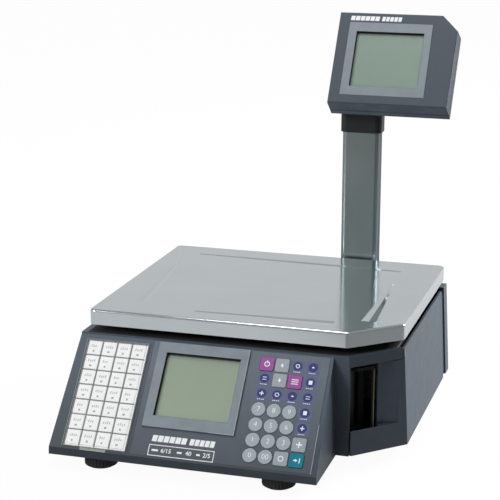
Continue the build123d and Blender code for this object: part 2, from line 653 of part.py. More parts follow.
def make_keyboard_board():
    """Switch board behind the key panel, with a contact dome at every key."""
    plane = console_plane()
    with BuildPart() as board:
        block(plane, (KEY_WINDOW[0] - 2, KEY_WINDOW[1] + 2, 4.0, 140.0), -KEY_BOARD - BOARD_THICK,
              -KEY_BOARD)
        for row in range(KEY_ROWS):
            for column in range(KEY_COLUMNS):
                disc(key_place(row, column), 3.0, -KEY_BOARD, -KEY_BOARD + 0.3, plane=plane)
    finish("keyboard_board", board)


def make_preset_card():
    """Slide-in card of preset keys: raised cells in a grid, with a pull tab at its lower edge."""
    with BuildPart() as card:
        block(console_plane(), CARD_LIMITS, 0, 0.4)
        block(console_plane(), CARD_TAB, 0, 0.4)
        with BuildSketch(console_plane(0.4)) as cells:
            for row in range(PRESET_ROWS):
                for column in range(PRESET_COLUMNS):
                    x = PRESET_LEFT + PRESET_PITCH_X * column
                    v = PRESET_TOP - PRESET_PITCH_V * row
                    span(x, x + PRESET_CELL_X, v - PRESET_CELL_V, v)
        extrude(cells.sketch, amount=0.5)
    finish("preset_card", card)


def make_preset_cover():
    """Clear flexible cover over the preset card, open at the bottom for the card's tab."""
    inside = grow(COVER_LIMITS, -1.1)
    with BuildPart() as cover:
        block(console_plane(), COVER_LIMITS, 0, 2.4)
        fillet(cover.faces().sort_by(Axis((0, 0, 0), console_plane().z_dir))[-1].edges(), radius=1.0)
        block(console_plane(), inside, -1, 1.5, mode=Mode.SUBTRACT)
        block(console_plane(), (CARD_TAB[0] - 0.4, CARD_TAB[1] + 0.4, 1.0, 6.0), -1, 0.7,
              mode=Mode.SUBTRACT)
    finish("preset_cover", cover)


# ---- electronics --------------------------------------------------------------------------
def make_main_board():
    """Main board on its posts: processor, memory, relays, a heat sink and edge connectors."""
    left, right, front, rear = BOARD_LIMITS
    top = BOARD_LOW + BOARD_THICK
    with BuildPart() as board:
        block(Plane.XY, BOARD_LIMITS, BOARD_LOW, top)
        block(Plane.XY, (left + 30, left + 58, front + 60, front + 88), top, top + 2.5)
        for step in range(4):
            y = front + 20 + 12 * step
            block(Plane.XY, (left + 70, left + 84, y, y + 8), top, top + 1.8)
            block(Plane.XY, (left + 4, left + 14, y + 70, y + 80), top, top + 9.0)
        for fin in range(6):
            x = left + 30 + 5 * fin
            block(Plane.XY, (x, x + 2, front + 120, front + 160), top, top + 16.0)
        for place in ((left + 20, front + 30), (left + 20, front + 46)):
            disc(place, 6.0, top, top + 18.0)
    finish("main_board", board)


def make_power_supply():
    """Boxed mains supply with a vented lid."""
    left, right, front, rear = SUPPLY_LIMITS
    with BuildPart() as supply:
        block(Plane.XY, SUPPLY_LIMITS, BASE + WALL, SUPPLY_TOP)
        fillet(supply.edges().filter_by(Axis.Z), radius=2.0)
        for slot in range(7):
            x = left + 12 + 8 * slot
            block(Plane.XY, (x, x + 3, front + 10, rear - 10), SUPPLY_TOP - 1.5, SUPPLY_TOP + 1,
                  mode=Mode.SUBTRACT)
    finish("power_supply", supply)


def make_spirit_level():
    """Bubble level in the deck, under the pan's front left corner."""
    with BuildPart() as level:
        disc(LEVEL_PLACE, LEVEL_RADIUS, DECK - 4.0, RIM)
        disc(LEVEL_PLACE, LEVEL_RADIUS + 3.0, RIM, RIM + 2.0)
        fillet(level.faces().sort_by(Axis.Z)[-1].edges(), radius=0.8)
    finish("spirit_level", level)


def make_power_inlet():
    """Mains inlet with three pins in its recess."""
    x, z = INLET_PLACE
    plane = Plane.XZ.offset(-REAR_FACE)
    with BuildPart() as inlet:
        block(plane, (x - 14, x + 14, z - 10, z + 10), 0, 20.0)
        block(plane, (x - 17, x + 17, z - 13, z + 13), -1.6, 0)
        block(plane, (x - 12, x + 12, z - 8, z + 8), -WALL, 14.0, mode=Mode.SUBTRACT)
        for pin_x, pin_z in ((-7, -2), (0, 2), (7, -2)):
            block(plane, (x + pin_x - 1, x + pin_x + 1, z + pin_z - 2.5, z + pin_z + 2.5), 6.0, 14.0)
    finish("power_inlet", inlet)


def make_power_switch():
    """Rocker switch, resting on its off side."""
    x, z = SWITCH_PLACE
    pivot = Plane(origin=(x, REAR_FACE - 4.0, z), x_dir=(1, 0, 0), z_dir=(0, 1, 0))
    with BuildPart() as rocker:
        with BuildSketch(pivot.rotated((SWITCH_TILT, 0, 0)).offset(-5.0)) as body:
            Rectangle(12.6, 19.0)
        extrude(body.sketch, amount=10.5)
        fillet(rocker.edges().filter_by(Axis.X), radius=1.5)
    finish("power_switch", rocker)


def make_switch_frame():
    """Bezel and box that hold the rocker in the rear cover."""
    x, z = SWITCH_PLACE
    plane = Plane.XZ.offset(-REAR_FACE)
    with BuildPart() as frame:
        block(plane, (x - 8.4, x + 8.4, z - 12.4, z + 12.4), 0, 14.0)
        block(plane, (x - 10, x + 10, z - 14, z + 14), -1.2, 0)
        block(plane, (x - 6.9, x + 6.9, z - 11, z + 11), -WALL, 12.5, mode=Mode.SUBTRACT)
    finish("switch_frame", frame)


def make_data_sockets():
    """Data sockets in a row, each with its recess."""
    plane = Plane.XZ.offset(-REAR_FACE)
    with BuildPart() as sockets:
        for x, z, width, height in SOCKET_PLACES:
            block(plane, (x - width / 2, x + width / 2, z - height / 2, z + height / 2), -0.8, 18.0)
            block(plane, (x - width / 2 + 1.5, x + width / 2 - 1.5, z - height / 2 + 1.5,
                          z + height / 2 - 1.5), -WALL, 12.0, mode=Mode.SUBTRACT)
    finish("data_sockets", sockets)


# ---- label printer ------------------------------------------------------------------------
def exit_frame():
    """Plane at the platen: X towards the label exit, Y across it, Z up."""
    return Plane(origin=(*PLATEN_PLACE, 0), x_dir=(CORNER_45, -CORNER_45, 0), z_dir=(0, 0, 1))


def make_printer_frame():
    """Printer chassis: base plate on legs, side wall, bridge, spindles and the head's pivot."""
    with BuildPart() as frame:
        prism(FRAME_PLAN, FRAME_LOW, FRAME_HIGH)
        prism(BRIDGE_PLAN, BRIDGE_LOW, BRIDGE_HIGH)
        block(Plane.XY, (104.0, 108.0, -138.0, -80.0), FRAME_HIGH, BRIDGE_LOW)
        for place in FRAME_LEGS:
            disc(place, 5.0, BASE + WALL, FRAME_LOW)
        disc(ROLL_PLACE, ROLL_CORE, FRAME_HIGH, ROLL_HIGH + 4.0)
        disc(ROLL_PLACE, ROLL_CORE + 5.0, FRAME_HIGH, ROLL_LOW - 0.3)
        disc(TAKEUP_PLACE, TAKEUP_SPINDLE, FRAME_HIGH, ROLL_HIGH + 8.0)
        disc(HEAD_PIVOT, HEAD_PIVOT_RADIUS, FRAME_HIGH, BRIDGE_LOW, plane=exit_frame())
        disc(PLATEN_PLACE, JOURNAL_RADIUS + RUNNING, FRAME_LOW - 1, FRAME_HIGH + 1, mode=Mode.SUBTRACT)
        disc(PLATEN_PLACE, JOURNAL_RADIUS + RUNNING, BRIDGE_LOW - 1, BRIDGE_HIGH + 1,
             mode=Mode.SUBTRACT)
        disc(ROLL_PLACE, ROLL_CORE - 4.0, FRAME_HIGH + 3.0, ROLL_HIGH + 5.0, mode=Mode.SUBTRACT)
    finish("printer_frame", frame)


def make_peel_bar():
    """Upright bar at the label exit, over which labels leave their backing."""
    with BuildPart() as bar:
        block(corner_plane(), (PEEL_START, PEEL_START + PEEL_WIDTH, FRAME_HIGH, BRIDGE_LOW), -12.0,
              -8.0)
        fillet(bar.faces().sort_by(Axis((0, 0, 0), corner_plane().z_dir))[-1].edges().filter_by(Axis.Z),
               radius=0.6)
    finish("peel_bar", bar)


def make_platen_roller():
    """Rubber platen on its shaft, with the feed gear at its lower end."""
    with BuildPart() as platen:
        disc(PLATEN_PLACE, PLATEN_RADIUS, 42.0, 112.0)
        disc(PLATEN_PLACE, 11.0, 36.0, 40.0)
        with Locations((*PLATEN_PLACE, 38.0)):
            with PolarLocations(11.0, 24):
                Cylinder(0.7, 6.0, mode=Mode.SUBTRACT)
        disc(PLATEN_PLACE, JOURNAL_RADIUS, FRAME_LOW + 0.5, BRIDGE_HIGH + 2.0)
    finish("platen_roller", platen)


def make_print_head():
    """Thermal print head beside the platen: finned carrier on its pivot, with a release lever."""
    low, high = 44.0, 110.0
    plane = exit_frame()
    x, y = HEAD_PIVOT
    with BuildPart() as print_head:
        block(plane, (-14.0, 10.0, PLATEN_RADIUS + 0.4, 16.0), low, high)
        for fin in range(5):
            z = low + 8.0 + 12.0 * fin
            block(plane, (-6.0, 7.0, 13.0, 17.0), z, z + 6.0, mode=Mode.SUBTRACT)
        block(plane, (-14.0, 8.0, PLATEN_RADIUS + 0.4, 24.0), high, high + 3.0)
        block(plane, (-2.0, 8.0, 20.0, 24.0), high - 14.0, high)
        disc((x, y), HEAD_PIVOT_RADIUS + RUNNING, low - 1, high + 4.0, mode=Mode.SUBTRACT, plane=plane)
    finish("print_head", print_head)


def make_feed_motor():
    """Flat stepper motor on the bridge, on the platen's shaft."""
    x, y = PLATEN_PLACE
    with BuildPart() as motor:
        block(Plane.XY, (x - 16, x + 16, y - 16, y + 16), BRIDGE_HIGH, BRIDGE_HIGH + 11.0)
        chamfer(motor.edges().filter_by(Axis.Z), length=4.0)
        disc(PLATEN_PLACE, JOURNAL_RADIUS + RUNNING, BRIDGE_HIGH - 1, BRIDGE_HIGH + 4.0,
             mode=Mode.SUBTRACT)
    finish("feed_motor", motor)


def make_label_roll():
    """Roll of labels on its core."""
    with BuildPart() as roll:
        disc(ROLL_PLACE, ROLL_RADIUS, ROLL_LOW, ROLL_HIGH)
        disc(ROLL_PLACE, ROLL_CORE + RUNNING, ROLL_LOW - 1, ROLL_HIGH + 1, mode=Mode.SUBTRACT)
    finish("label_roll", roll)


def make_take_up_spool():
    """Flanged spool that winds up the empty backing paper."""
    with BuildPart() as spool:
        disc(TAKEUP_PLACE, 12.0, ROLL_LOW, ROLL_HIGH + 4.0)
        disc(TAKEUP_PLACE, 20.0, ROLL_LOW, ROLL_LOW + 2.0)
        disc(TAKEUP_PLACE, 20.0, ROLL_HIGH + 2.0, ROLL_HIGH + 4.0)
        disc(TAKEUP_PLACE, TAKEUP_SPINDLE + RUNNING, ROLL_LOW - 1, ROLL_HIGH + 5.0, mode=Mode.SUBTRACT)
    finish("take_up_spool", spool)


def make_printer_door():
    """Door over the printer: the right side and the cut corner in one shell, hinged at its rear."""
    low = BASE + 1.0
    gap = 1.0
    start = DOOR_START_X + 1.5
    corner_plan = Plane(origin=(HALF - CORNER_CUT, FRONT_WALL_Y, 0), x_dir=(CORNER_45, CORNER_45, 0),
                        z_dir=(0, 0, 1))
    with BuildPart() as door:
        body_block(0, low, DOOR_TOP)
        body_block(WALL, low, DOOR_TOP, rear=SIDE_REAR_Y + WALL, mode=Mode.SUBTRACT)
        prism([(start, FRONT_WALL_Y - 2), (HALF + 1, FRONT_WALL_Y - 2), (HALF + 1, HINGE_Y),
               (150.0, HINGE_Y), (start, FRONT_WALL_Y + 20)], low, DOOR_TOP, mode=Mode.INTERSECT)
        # wall behind the finger scoop
        prism([(EXIT_WIDTH, 2.0), (EXIT_WIDTH, GRIP_DEPTH + WALL), (GRIP_END + 4, WALL + 2.0),
               (GRIP_END + 4, 2.5)], EXIT_BOTTOM - WALL, DOOR_PARTING - gap, plane=corner_plan)
        # clearance under the fixed strip, then the label exit and the scoop
        block(Plane.XY, (DOOR_START_X, HALF + 1, FRONT_WALL_Y - 2, STRIP_END_Y + gap), DOOR_PARTING - gap,
              DOOR_TOP + 1, mode=Mode.SUBTRACT)
        prism([(-12.0, -5.0), (-12.0, 20.0), (EXIT_WIDTH, 20.0), (EXIT_WIDTH, -5.0)], EXIT_BOTTOM,
              DOOR_TOP, mode=Mode.SUBTRACT, plane=corner_plan)
        prism([(EXIT_WIDTH - 1, -5.0), (EXIT_WIDTH - 1, GRIP_DEPTH), (EXIT_WIDTH + 4, GRIP_DEPTH),
               (GRIP_END, 2.4), (GRIP_END, -5.0)], EXIT_BOTTOM, DOOR_PARTING, mode=Mode.SUBTRACT,
              plane=corner_plan)
        # hinge: notches for the rear cover's lugs, the knuckle and its two pins
        for bottom, top in ((low - 1, HINGE_LUGS[0][1] + 0.7), (HINGE_LUGS[1][0] - 0.7, DOOR_TOP + 1)):
            block(Plane.XY, (150.0, HALF + 1, HINGE_Y - 3.8, SIDE_REAR_Y), bottom, top,
                  mode=Mode.SUBTRACT)
        hinge_bar(HINGE_RADIUS, HINGE_LUGS[0][1] + 0.7, HINGE_LUGS[1][0] - 0.7)
        hinge_bar(PIN_RADIUS, HINGE_LUGS[0][0] + 0.5, HINGE_LUGS[1][1] - 0.5)
    finish("printer_door", door)


# ---- pole and display head ----------------------------------------------------------------
def make_pole():
    """Aluminium pole, a rounded box section."""
    with BuildPart() as pole:
        with BuildSketch(Plane.XY.offset(POLE_BOTTOM)) as section:
            with Locations((POLE_X, POLE_Y)):
                RectangleRounded(POLE_WIDTH, POLE_DEPTH, POLE_CORNER)
                RectangleRounded(POLE_WIDTH - 4, POLE_DEPTH - 4, POLE_CORNER - 2, mode=Mode.SUBTRACT)
        extrude(section.sketch, amount=POLE_TOP - POLE_BOTTOM)
    finish("pole", pole)


def make_pole_bracket():
    """Socket on the rear cover that holds the pole's foot, with screwed flanges."""
    plane = Plane.XZ.offset(-REAR_FACE)
    half = POLE_WIDTH / 2 + BRACKET_WALL
    depth = POLE_Y + POLE_DEPTH / 2 + BRACKET_WALL - REAR_FACE
    with BuildPart() as bracket:
        block(plane, (POLE_X - half, POLE_X + half, BRACKET_LOW, BRACKET_HIGH), -depth, 0)
        fillet(bracket.edges().filter_by(Axis.Z).group_by(Axis.Y)[-1], radius=6.0)
        fillet(bracket.edges().filter_by(Axis.X).group_by(Axis.Y)[-1].group_by(Axis.Z)[0], radius=3.0)
        block(plane, (POLE_X - half - BRACKET_SIDE, POLE_X + half + BRACKET_SIDE, BRACKET_LOW,
                      BRACKET_HIGH), -BRACKET_FLANGE, 0)
        with BuildSketch(Plane.XY.offset(POLE_BOTTOM)) as cavity:
            with Locations((POLE_X, POLE_Y)):
                RectangleRounded(POLE_WIDTH + 0.2, POLE_DEPTH + 0.2, POLE_CORNER + 0.1)
        extrude(cavity.sketch, amount=BRACKET_HIGH, mode=Mode.SUBTRACT)
        for x, z in BRACKET_SCREWS:
            disc((x, z), SCREW_RADIUS, -2 * WALL, 1, mode=Mode.SUBTRACT, plane=plane)
    finish("pole_bracket", bracket)


def make_swivel_collar():
    """Collar on top of the pole, with the hollow spigot that the head turns on."""
    with BuildPart() as collar:
        with BuildSketch(Plane.XY.offset(COLLAR_BOTTOM)) as outside:
            with Locations((POLE_X, POLE_Y)):
                RectangleRounded(POLE_WIDTH + 2 * COLLAR_WALL, POLE_DEPTH + 2 * COLLAR_WALL,
                                 POLE_CORNER + COLLAR_WALL)
        extrude(outside.sketch, amount=COLLAR_TOP - COLLAR_BOTTOM)
        fillet(collar.faces().sort_by(Axis.Z)[0].edges(), radius=1.2)
        with BuildSketch(Plane.XY.offset(COLLAR_BOTTOM)) as cavity:
            with Locations((POLE_X, POLE_Y)):
                RectangleRounded(POLE_WIDTH + 0.2, POLE_DEPTH + 0.2, POLE_CORNER + 0.1)
        extrude(cavity.sketch, amount=POLE_TOP - COLLAR_BOTTOM, mode=Mode.SUBTRACT)
        disc((POLE_X, POLE_Y), SPIGOT_RADIUS, COLLAR_TOP, SPIGOT_TOP)
        disc((POLE_X, POLE_Y), SPIGOT_RADIUS - 4.0, POLE_TOP - 1, SPIGOT_TOP + 1, mode=Mode.SUBTRACT)
    finish("swivel_collar", collar)


def head_outline(depth, inset):
    """Outline of the head at a depth behind its face, in the open sketch."""
    share = depth / HEAD_RIM
    left = HEAD_LEFT + HEAD_DRAFT * depth + inset
    right_low = HEAD_RIGHT_LOW[0] + (HEAD_RIGHT_LOW[1] - HEAD_RIGHT_LOW[0]) * share - inset
    right_high = HEAD_RIGHT_HIGH[0] + (HEAD_RIGHT_HIGH[1] - HEAD_RIGHT_HIGH[0]) * share - inset
    low = -CHIN_FLARE * depth + inset
    high = HEAD_FACE - inset
    slack = inset * (sqrt(2) - 1)
    Polygon((left, low), (right_low, low), (right_high, high - HEAD_CUT_V + inset - slack),
            (right_high - HEAD_CUT_X + inset - slack, high), (left, high), align=None)


def head_block(inset, front, rear, mode=Mode.ADD):
    """The head's drafted outline between two depths behind its face, in the open part."""
    sections = []
    for depth in (front, rear):
        with BuildSketch(head_plane(-depth)) as section:
            head_outline(depth, inset)
        sections.append(section.sketch.face())
    loft(sections, ruled=True, mode=mode)


def make_head_bezel():
    """Front half of the display head, open for the display frame."""
    with BuildPart() as bezel:
        head_block(0, 0, HEAD_BEZEL)
        fillet(bezel.faces().sort_by(Axis((0, 0, 0), head_plane().z_dir))[-1].edges(), radius=1.6)
        head_block(SHELL_WALL, WALL, HEAD_BEZEL, mode=Mode.SUBTRACT)
        block(head_plane(), grow(HEAD_OUTER, 0.1), -2 * WALL, WALL, mode=Mode.SUBTRACT)
    finish("head_bezel", bezel)


def head_point(v, depth):
    """(y, z) of a point on the head, from its height up the face and its depth behind it."""
    y = HEAD_BOTTOM_Y + v * sin(LEAN) + depth * cos(LEAN)
    z = HEAD_BOTTOM_Z + v * cos(LEAN) - depth * sin(LEAN)
    return (y, z)


def hump_profile(inset):
    """Side profile of the head's rear housing, moved inwards by an inset."""
    chin = head_point(-CHIN_FLARE * HEAD_RIM, HEAD_RIM)
    inside = 2.0 + inset
    return [
        head_point(2.0, HEAD_RIM - inside),
        (chin[0] + 1.2 * inset, chin[1] + inset),
        (HUMP_REAR - inset, chin[1] + inset),
        (HUMP_REAR - inset, HUMP_TOP - inset),
        head_point(HEAD_FACE - 8.0 - inset, HEAD_RIM),
        head_point(HEAD_FACE - 8.0 - inset, HEAD_RIM - inside),
    ]


def head_hump(inset):
    """The head's rear housing, which holds the swivel."""
    with BuildPart() as hump:
        with BuildSketch(Plane.YZ.offset(HUMP_LEFT + inset)):
            with BuildLine():
                Polyline(*hump_profile(inset), close=True)
            make_face()
        extrude(amount=HUMP_RIGHT - HUMP_LEFT - 2 * inset)
        if not inset:
            fillet(hump.faces().sort_by(Axis.Y)[-1].edges().filter_by(Axis.Z), radius=5.0)
    return hump.part


def make_head_shell():
    """Rear half of the display head with the bush that turns on the collar's spigot."""
    chin_z = head_point(-CHIN_FLARE * HEAD_RIM, HEAD_RIM)[1]
    place = (POLE_X, POLE_Y)
    hump = head_hump(0)
    hollow = head_hump(SHELL_WALL)
    with BuildPart() as shell:
        head_block(HEAD_REVEAL, HEAD_BEZEL, HEAD_BEZEL + HEAD_REVEAL)
        head_block(0, HEAD_BEZEL + HEAD_REVEAL, HEAD_RIM)
        add(hump)
        head_block(SHELL_WALL, HEAD_BEZEL, HEAD_RIM - SHELL_WALL, mode=Mode.SUBTRACT)
        add(hollow, mode=Mode.SUBTRACT)
        disc(place, SPIGOT_RADIUS + 4.0, chin_z, chin_z + 16.0)
        disc(place, SPIGOT_RADIUS + RUNNING, chin_z - 1, chin_z + 17.0, mode=Mode.SUBTRACT)
    finish("head_shell", shell)


# ---- the whole scale ----------------------------------------------------------------------
make_base_tray()
make_housing()
make_rear_cover()
make_case_screws()
for foot_name, foot_place in FOOT_PLACES.items():
    make_foot(foot_name, foot_place)
make_load_cell()
make_pan_support()
make_support_pads()
make_pan()
make_window_frame("display_frame", console_plane(), DISPLAY_OUTER, DISPLAY_OPENING, DISPLAY_PROUD)
make_window("display_window", console_plane(), DISPLAY_OPENING, DISPLAY_PROUD)
make_display_module("display_lcd", console_plane(), DISPLAY_OUTER, DISPLAY_OPENING, DISPLAY_PROUD)
make_key_panel()
for key_row, key_column in RAISED_KEYS:
    make_key(key_row, key_column)
make_keyboard_board()
make_preset_card()
make_preset_cover()
make_main_board()
make_power_supply()
make_spirit_level()
make_power_inlet()
make_switch_frame()
make_power_switch()
make_data_sockets()
make_printer_frame()
make_peel_bar()
make_platen_roller()
make_print_head()
make_feed_motor()
make_label_roll()
make_take_up_spool()
make_printer_door()
make_pole()
make_pole_bracket()
make_swivel_collar()
make_head_bezel()
make_head_shell()
make_window_frame("head_frame", head_plane(), HEAD_OUTER, HEAD_OPENING, HEAD_PROUD)
make_window("head_window", head_plane(), HEAD_OPENING, HEAD_PROUD)
make_display_module("head_lcd", head_plane(), HEAD_OUTER, HEAD_OPENING, HEAD_PROUD)
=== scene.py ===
"""Looks of the retail price scale: materials, printing, small fittings, lights and camera.

Lengths on the object are millimetres in the CAD frame; they become metres when a mesh is made.
Inside materials, and for the floor, lights and camera, lengths are metres.
"""
import bpy
import bmesh
import json
import math
from mathutils import Matrix, Vector


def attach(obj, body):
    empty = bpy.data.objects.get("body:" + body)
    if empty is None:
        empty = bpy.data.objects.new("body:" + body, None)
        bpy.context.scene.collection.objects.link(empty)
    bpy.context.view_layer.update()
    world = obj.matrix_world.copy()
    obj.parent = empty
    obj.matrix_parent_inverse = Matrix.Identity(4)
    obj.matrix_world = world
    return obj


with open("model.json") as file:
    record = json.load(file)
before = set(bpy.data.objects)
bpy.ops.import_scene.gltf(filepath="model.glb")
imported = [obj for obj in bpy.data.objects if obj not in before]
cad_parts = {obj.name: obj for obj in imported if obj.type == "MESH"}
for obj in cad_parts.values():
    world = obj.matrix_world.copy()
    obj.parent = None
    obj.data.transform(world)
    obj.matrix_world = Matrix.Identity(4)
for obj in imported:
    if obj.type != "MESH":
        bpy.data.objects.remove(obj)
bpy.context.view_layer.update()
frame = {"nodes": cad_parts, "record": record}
MM = 0.001


# ---- frames on the object -----------------------------------------------------------------
class Face:
    """A flat face of the object: x along it, y up it, heights outwards."""

    def __init__(self, origin, x_dir, y_dir):
        self.origin = Vector(origin)
        self.x_dir = Vector(x_dir).normalized()
        self.y_dir = Vector(y_dir).normalized()
        self.normal = self.x_dir.cross(self.y_dir)

    def at(self, x, y, height=0.0):
        point = self.origin + self.x_dir * x + self.y_dir * y + self.normal * height
        return point * MM

    def matrix(self, x, y, height=0.0):
        turned = Matrix((self.x_dir, self.y_dir, self.normal)).transposed().to_4x4()
        turned.translation = self.at(x, y, height)
        return turned


CONSOLE_LOW_Y, CONSOLE_LOW_Z = -242.9, 25.4          # the console's lower and upper edges
CONSOLE_HIGH_Y, CONSOLE_HIGH_Z = -149.6, 137.9
SLOPE = math.atan2(CONSOLE_HIGH_Z - CONSOLE_LOW_Z, CONSOLE_HIGH_Y - CONSOLE_LOW_Y)
HEAD_LOW_Y, HEAD_LOW_Z = 152.8, 386.8                # the lower edge of the head's face
LEAN = math.radians(32.6)                            # the head's face leans back from upright
REAR_Y = 191.1                                       # the rear cover's outer face
DECK_Z = 139.5                                       # the deck under the pan
CORNER_X, CORNER_Y = 144.6, -150.0                   # where the cut front right corner starts
SIDE_X, SIDE_Z = 200.6, 16.0                         # the foot of the right side
SIDE_IN, SIDE_UP = 6.6, 123.5                        # it leans in by this much over this height
DRAFT = math.atan2(SIDE_IN, SIDE_UP)
CONSOLE = Face((0, CONSOLE_LOW_Y, CONSOLE_LOW_Z), (1, 0, 0), (0, math.cos(SLOPE), math.sin(SLOPE)))
HEAD = Face((0, HEAD_LOW_Y, HEAD_LOW_Z), (1, 0, 0), (0, math.sin(LEAN), math.cos(LEAN)))
REAR = Face((0, REAR_Y, 0), (-1, 0, 0), (0, 0, 1))
DECK = Face((0, 0, DECK_Z), (1, 0, 0), (0, 1, 0))
CORNER = Face((CORNER_X, CORNER_Y, 0), (1, 1, 0), (0, 0, 1))
SIDE = Face((SIDE_X, 0, SIDE_Z), (0, 1, 0), (-math.sin(DRAFT), 0, math.cos(DRAFT)))


# ---- node helpers -------------------------------------------------------------------------
def new_value(tree, kind, *values, **settings):
    """A node in a tree with its first inputs linked or set; returns the output it offers."""
    node = tree.nodes.new(kind)
    for key, value in settings.items():
        setattr(node, key, value)
    for socket, value in zip(node.inputs, values):
        if isinstance(value, bpy.types.NodeSocket):
            tree.links.new(value, socket)
        else:
            socket.default_value = value
    return [s for s in node.outputs if s.enabled][0]


def step(tree, value, low, high):
    """The value mapped from low to high onto 0 to 1, eased at both ends."""
    return new_value(tree, "ShaderNodeMapRange", value, low, high, 0.0, 1.0,
                     interpolation_type="SMOOTHSTEP")


def between(tree, share, first, second):
    """The first value at a share of 0, the second at a share of 1."""
    return new_value(tree, "ShaderNodeMapRange", share, 0.0, 1.0, first, second)


NOISE_RANGE = (0.3, 0.7)      # where a noise texture's values usually lie
BEVEL_SAMPLES = 4


class Nodes:
    """A material's node tree, with short calls for the nodes used here."""

    def __init__(self, name):
        self.material = bpy.data.materials.new(name)
        self.material.use_nodes = True
        self.tree = self.material.node_tree
        self.shader = self.tree.nodes["Principled BSDF"]
        self.coords = self.tree.nodes.new("ShaderNodeTexCoord").outputs["Object"]

    def new(self, kind, **settings):
        node = self.tree.nodes.new(kind)
        for key, value in settings.items():
            setattr(node, key, value)
        return node

    def value(self, kind, *values, **settings):
        return new_value(self.tree, kind, *values, **settings)

    def link(self, output, target):
        self.tree.links.new(output, target)

    def feed(self, **outputs):
        """Links outputs to the shader's inputs of the same names."""
        for key, output in outputs.items():
            self.link(output, self.shader.inputs[key.replace("_", " ")])

    def stretched(self, scale):
        """Object coordinates with their own scale along X, Y and Z."""
        mapping = self.new("ShaderNodeMapping")
        mapping.inputs["Scale"].default_value = scale
        self.link(self.coords, mapping.inputs["Vector"])
        return mapping.outputs["Vector"]

    def noise(self, scale, detail=2.0, roughness=0.5, vector=None):
        node = self.new("ShaderNodeTexNoise")
        node.inputs["Scale"].default_value = scale
        node.inputs["Detail"].default_value = detail
        node.inputs["Roughness"].default_value = roughness
        self.link(vector or self.coords, node.inputs["Vector"])
        return node.outputs["Fac"]

    def ramp(self, value, stops):
        node = self.new("ShaderNodeValToRGB")
        elements = node.color_ramp.elements
        while len(elements) < len(stops):
            elements.new(0.5)
        for element, (place, colour) in zip(elements, stops):
            element.position = place
            element.color = (*colour, 1.0)
        self.link(value, node.inputs["Fac"])
        return node.outputs["Color"]

    def spread(self, value, low, high):
        """A noise value mapped from its usual range onto low to high."""
        return self.value("ShaderNodeMapRange", value, *NOISE_RANGE, low, high)

    def blend(self, factor, first, second, kind="MIX"):
        node = self.tree.nodes.new("ShaderNodeMix")
        node.data_type = "RGBA"
        node.blend_type = kind
        sockets = [s for s in node.inputs if s.enabled]
        for socket, value in zip(sockets, (factor, first, second)):
            if isinstance(value, bpy.types.NodeSocket):
                self.link(value, socket)
            elif isinstance(value, (int, float)):
                socket.default_value = value
            else:
                socket.default_value = (*value, 1.0)
        return [s for s in node.outputs if s.enabled][0]

    def multiply(self, first, second):
        return self.blend(1.0, first, second, "MULTIPLY")

    def bump(self, height, strength, distance, edge=0.0):
        """Bump from a height, with edges rounded to the radius `edge` in the shading."""
        node = self.new("ShaderNodeBump")
        node.inputs["Strength"].default_value = strength
        node.inputs["Distance"].default_value = distance
        self.link(height, node.inputs["Height"])
        if edge:
            bevel = self.new("ShaderNodeBevel", samples=BEVEL_SAMPLES)
            bevel.inputs["Radius"].default_value = edge
            self.link(bevel.outputs["Normal"], node.inputs["Normal"])
        self.feed(Normal=node.outputs["Normal"])

    def set(self, **values):
        """Sets the shader's inputs of the same names."""
        for key, value in values.items():
            self.shader.inputs[key.replace("_", " ")].default_value = value


# ---- materials ----------------------------------------------------------------------------
LOW_Z, HIGH_Z = 0.02, 0.115   # painted shade: a part that is darker low down darkens from HIGH_Z to LOW_Z
SOFT_EDGE = 0.0005            # usual radius of the edges' rounding in the shading


def shade(colour, factor):
    return tuple(min(1.0, channel * factor) for channel in colour)


def grey(value):
    return (value,) * 3


def mottled(n, value, colour, variation, low=NOISE_RANGE[0], high=NOISE_RANGE[1]):
    """A colour that varies with a noise value by a share up and down."""
    dark, light = shade(colour, 1 - variation), shade(colour, 1 + variation)
    return n.ramp(value, [(low, dark), (high, light)])


def moulded(name, colour, rough=0.5, grain=2600, depth=0.00003, edge=SOFT_EDGE, variation=0.07,
            mottle=60, specular=0.5, low=1.0):
    """Moulded plastic: spark-eroded grain, slight mottling, softened edges.

    From the height HIGH_Z down to LOW_Z its tone falls to the share `low`, a painted shade low
    down.
    """
    n = Nodes(name)
    broad = n.noise(mottle, detail=4)
    fine = n.noise(grain, detail=1)
    speck = n.ramp(fine, [(0.35, grey(0.86)), (0.62, grey(1.0))])
    tone = n.multiply(mottled(n, broad, colour, variation), speck)
    # painted shade: the tone darkens towards the floor
    if low < 1:
        height = n.new("ShaderNodeSeparateXYZ")
        n.link(n.coords, height.inputs[0])
        share = n.ramp(height.outputs["Z"], [(LOW_Z, grey(low)), (HIGH_Z, grey(1.0))])
        tone = n.multiply(tone, share)
    n.feed(Base_Color=tone, Roughness=n.spread(broad, rough - 0.05, rough + 0.06))
    n.set(Specular_IOR_Level=specular)
    n.bump(fine, 0.5, depth, edge)
    return n.material


def rubbery(name, colour, rough=0.75):
    """Rubber: dull, dusty, with a fine matt grain."""
    n = Nodes(name)
    dust = n.noise(90, detail=6, roughness=0.65)
    fine = n.noise(3000, detail=1)
    n.feed(Base_Color=n.ramp(dust, [(0.35, colour), (0.75, shade(colour, 1.9))]),
           Roughness=n.spread(dust, rough - 0.08, rough + 0.08))
    n.bump(fine, 0.6, 0.00004, 0.0004)
    return n.material


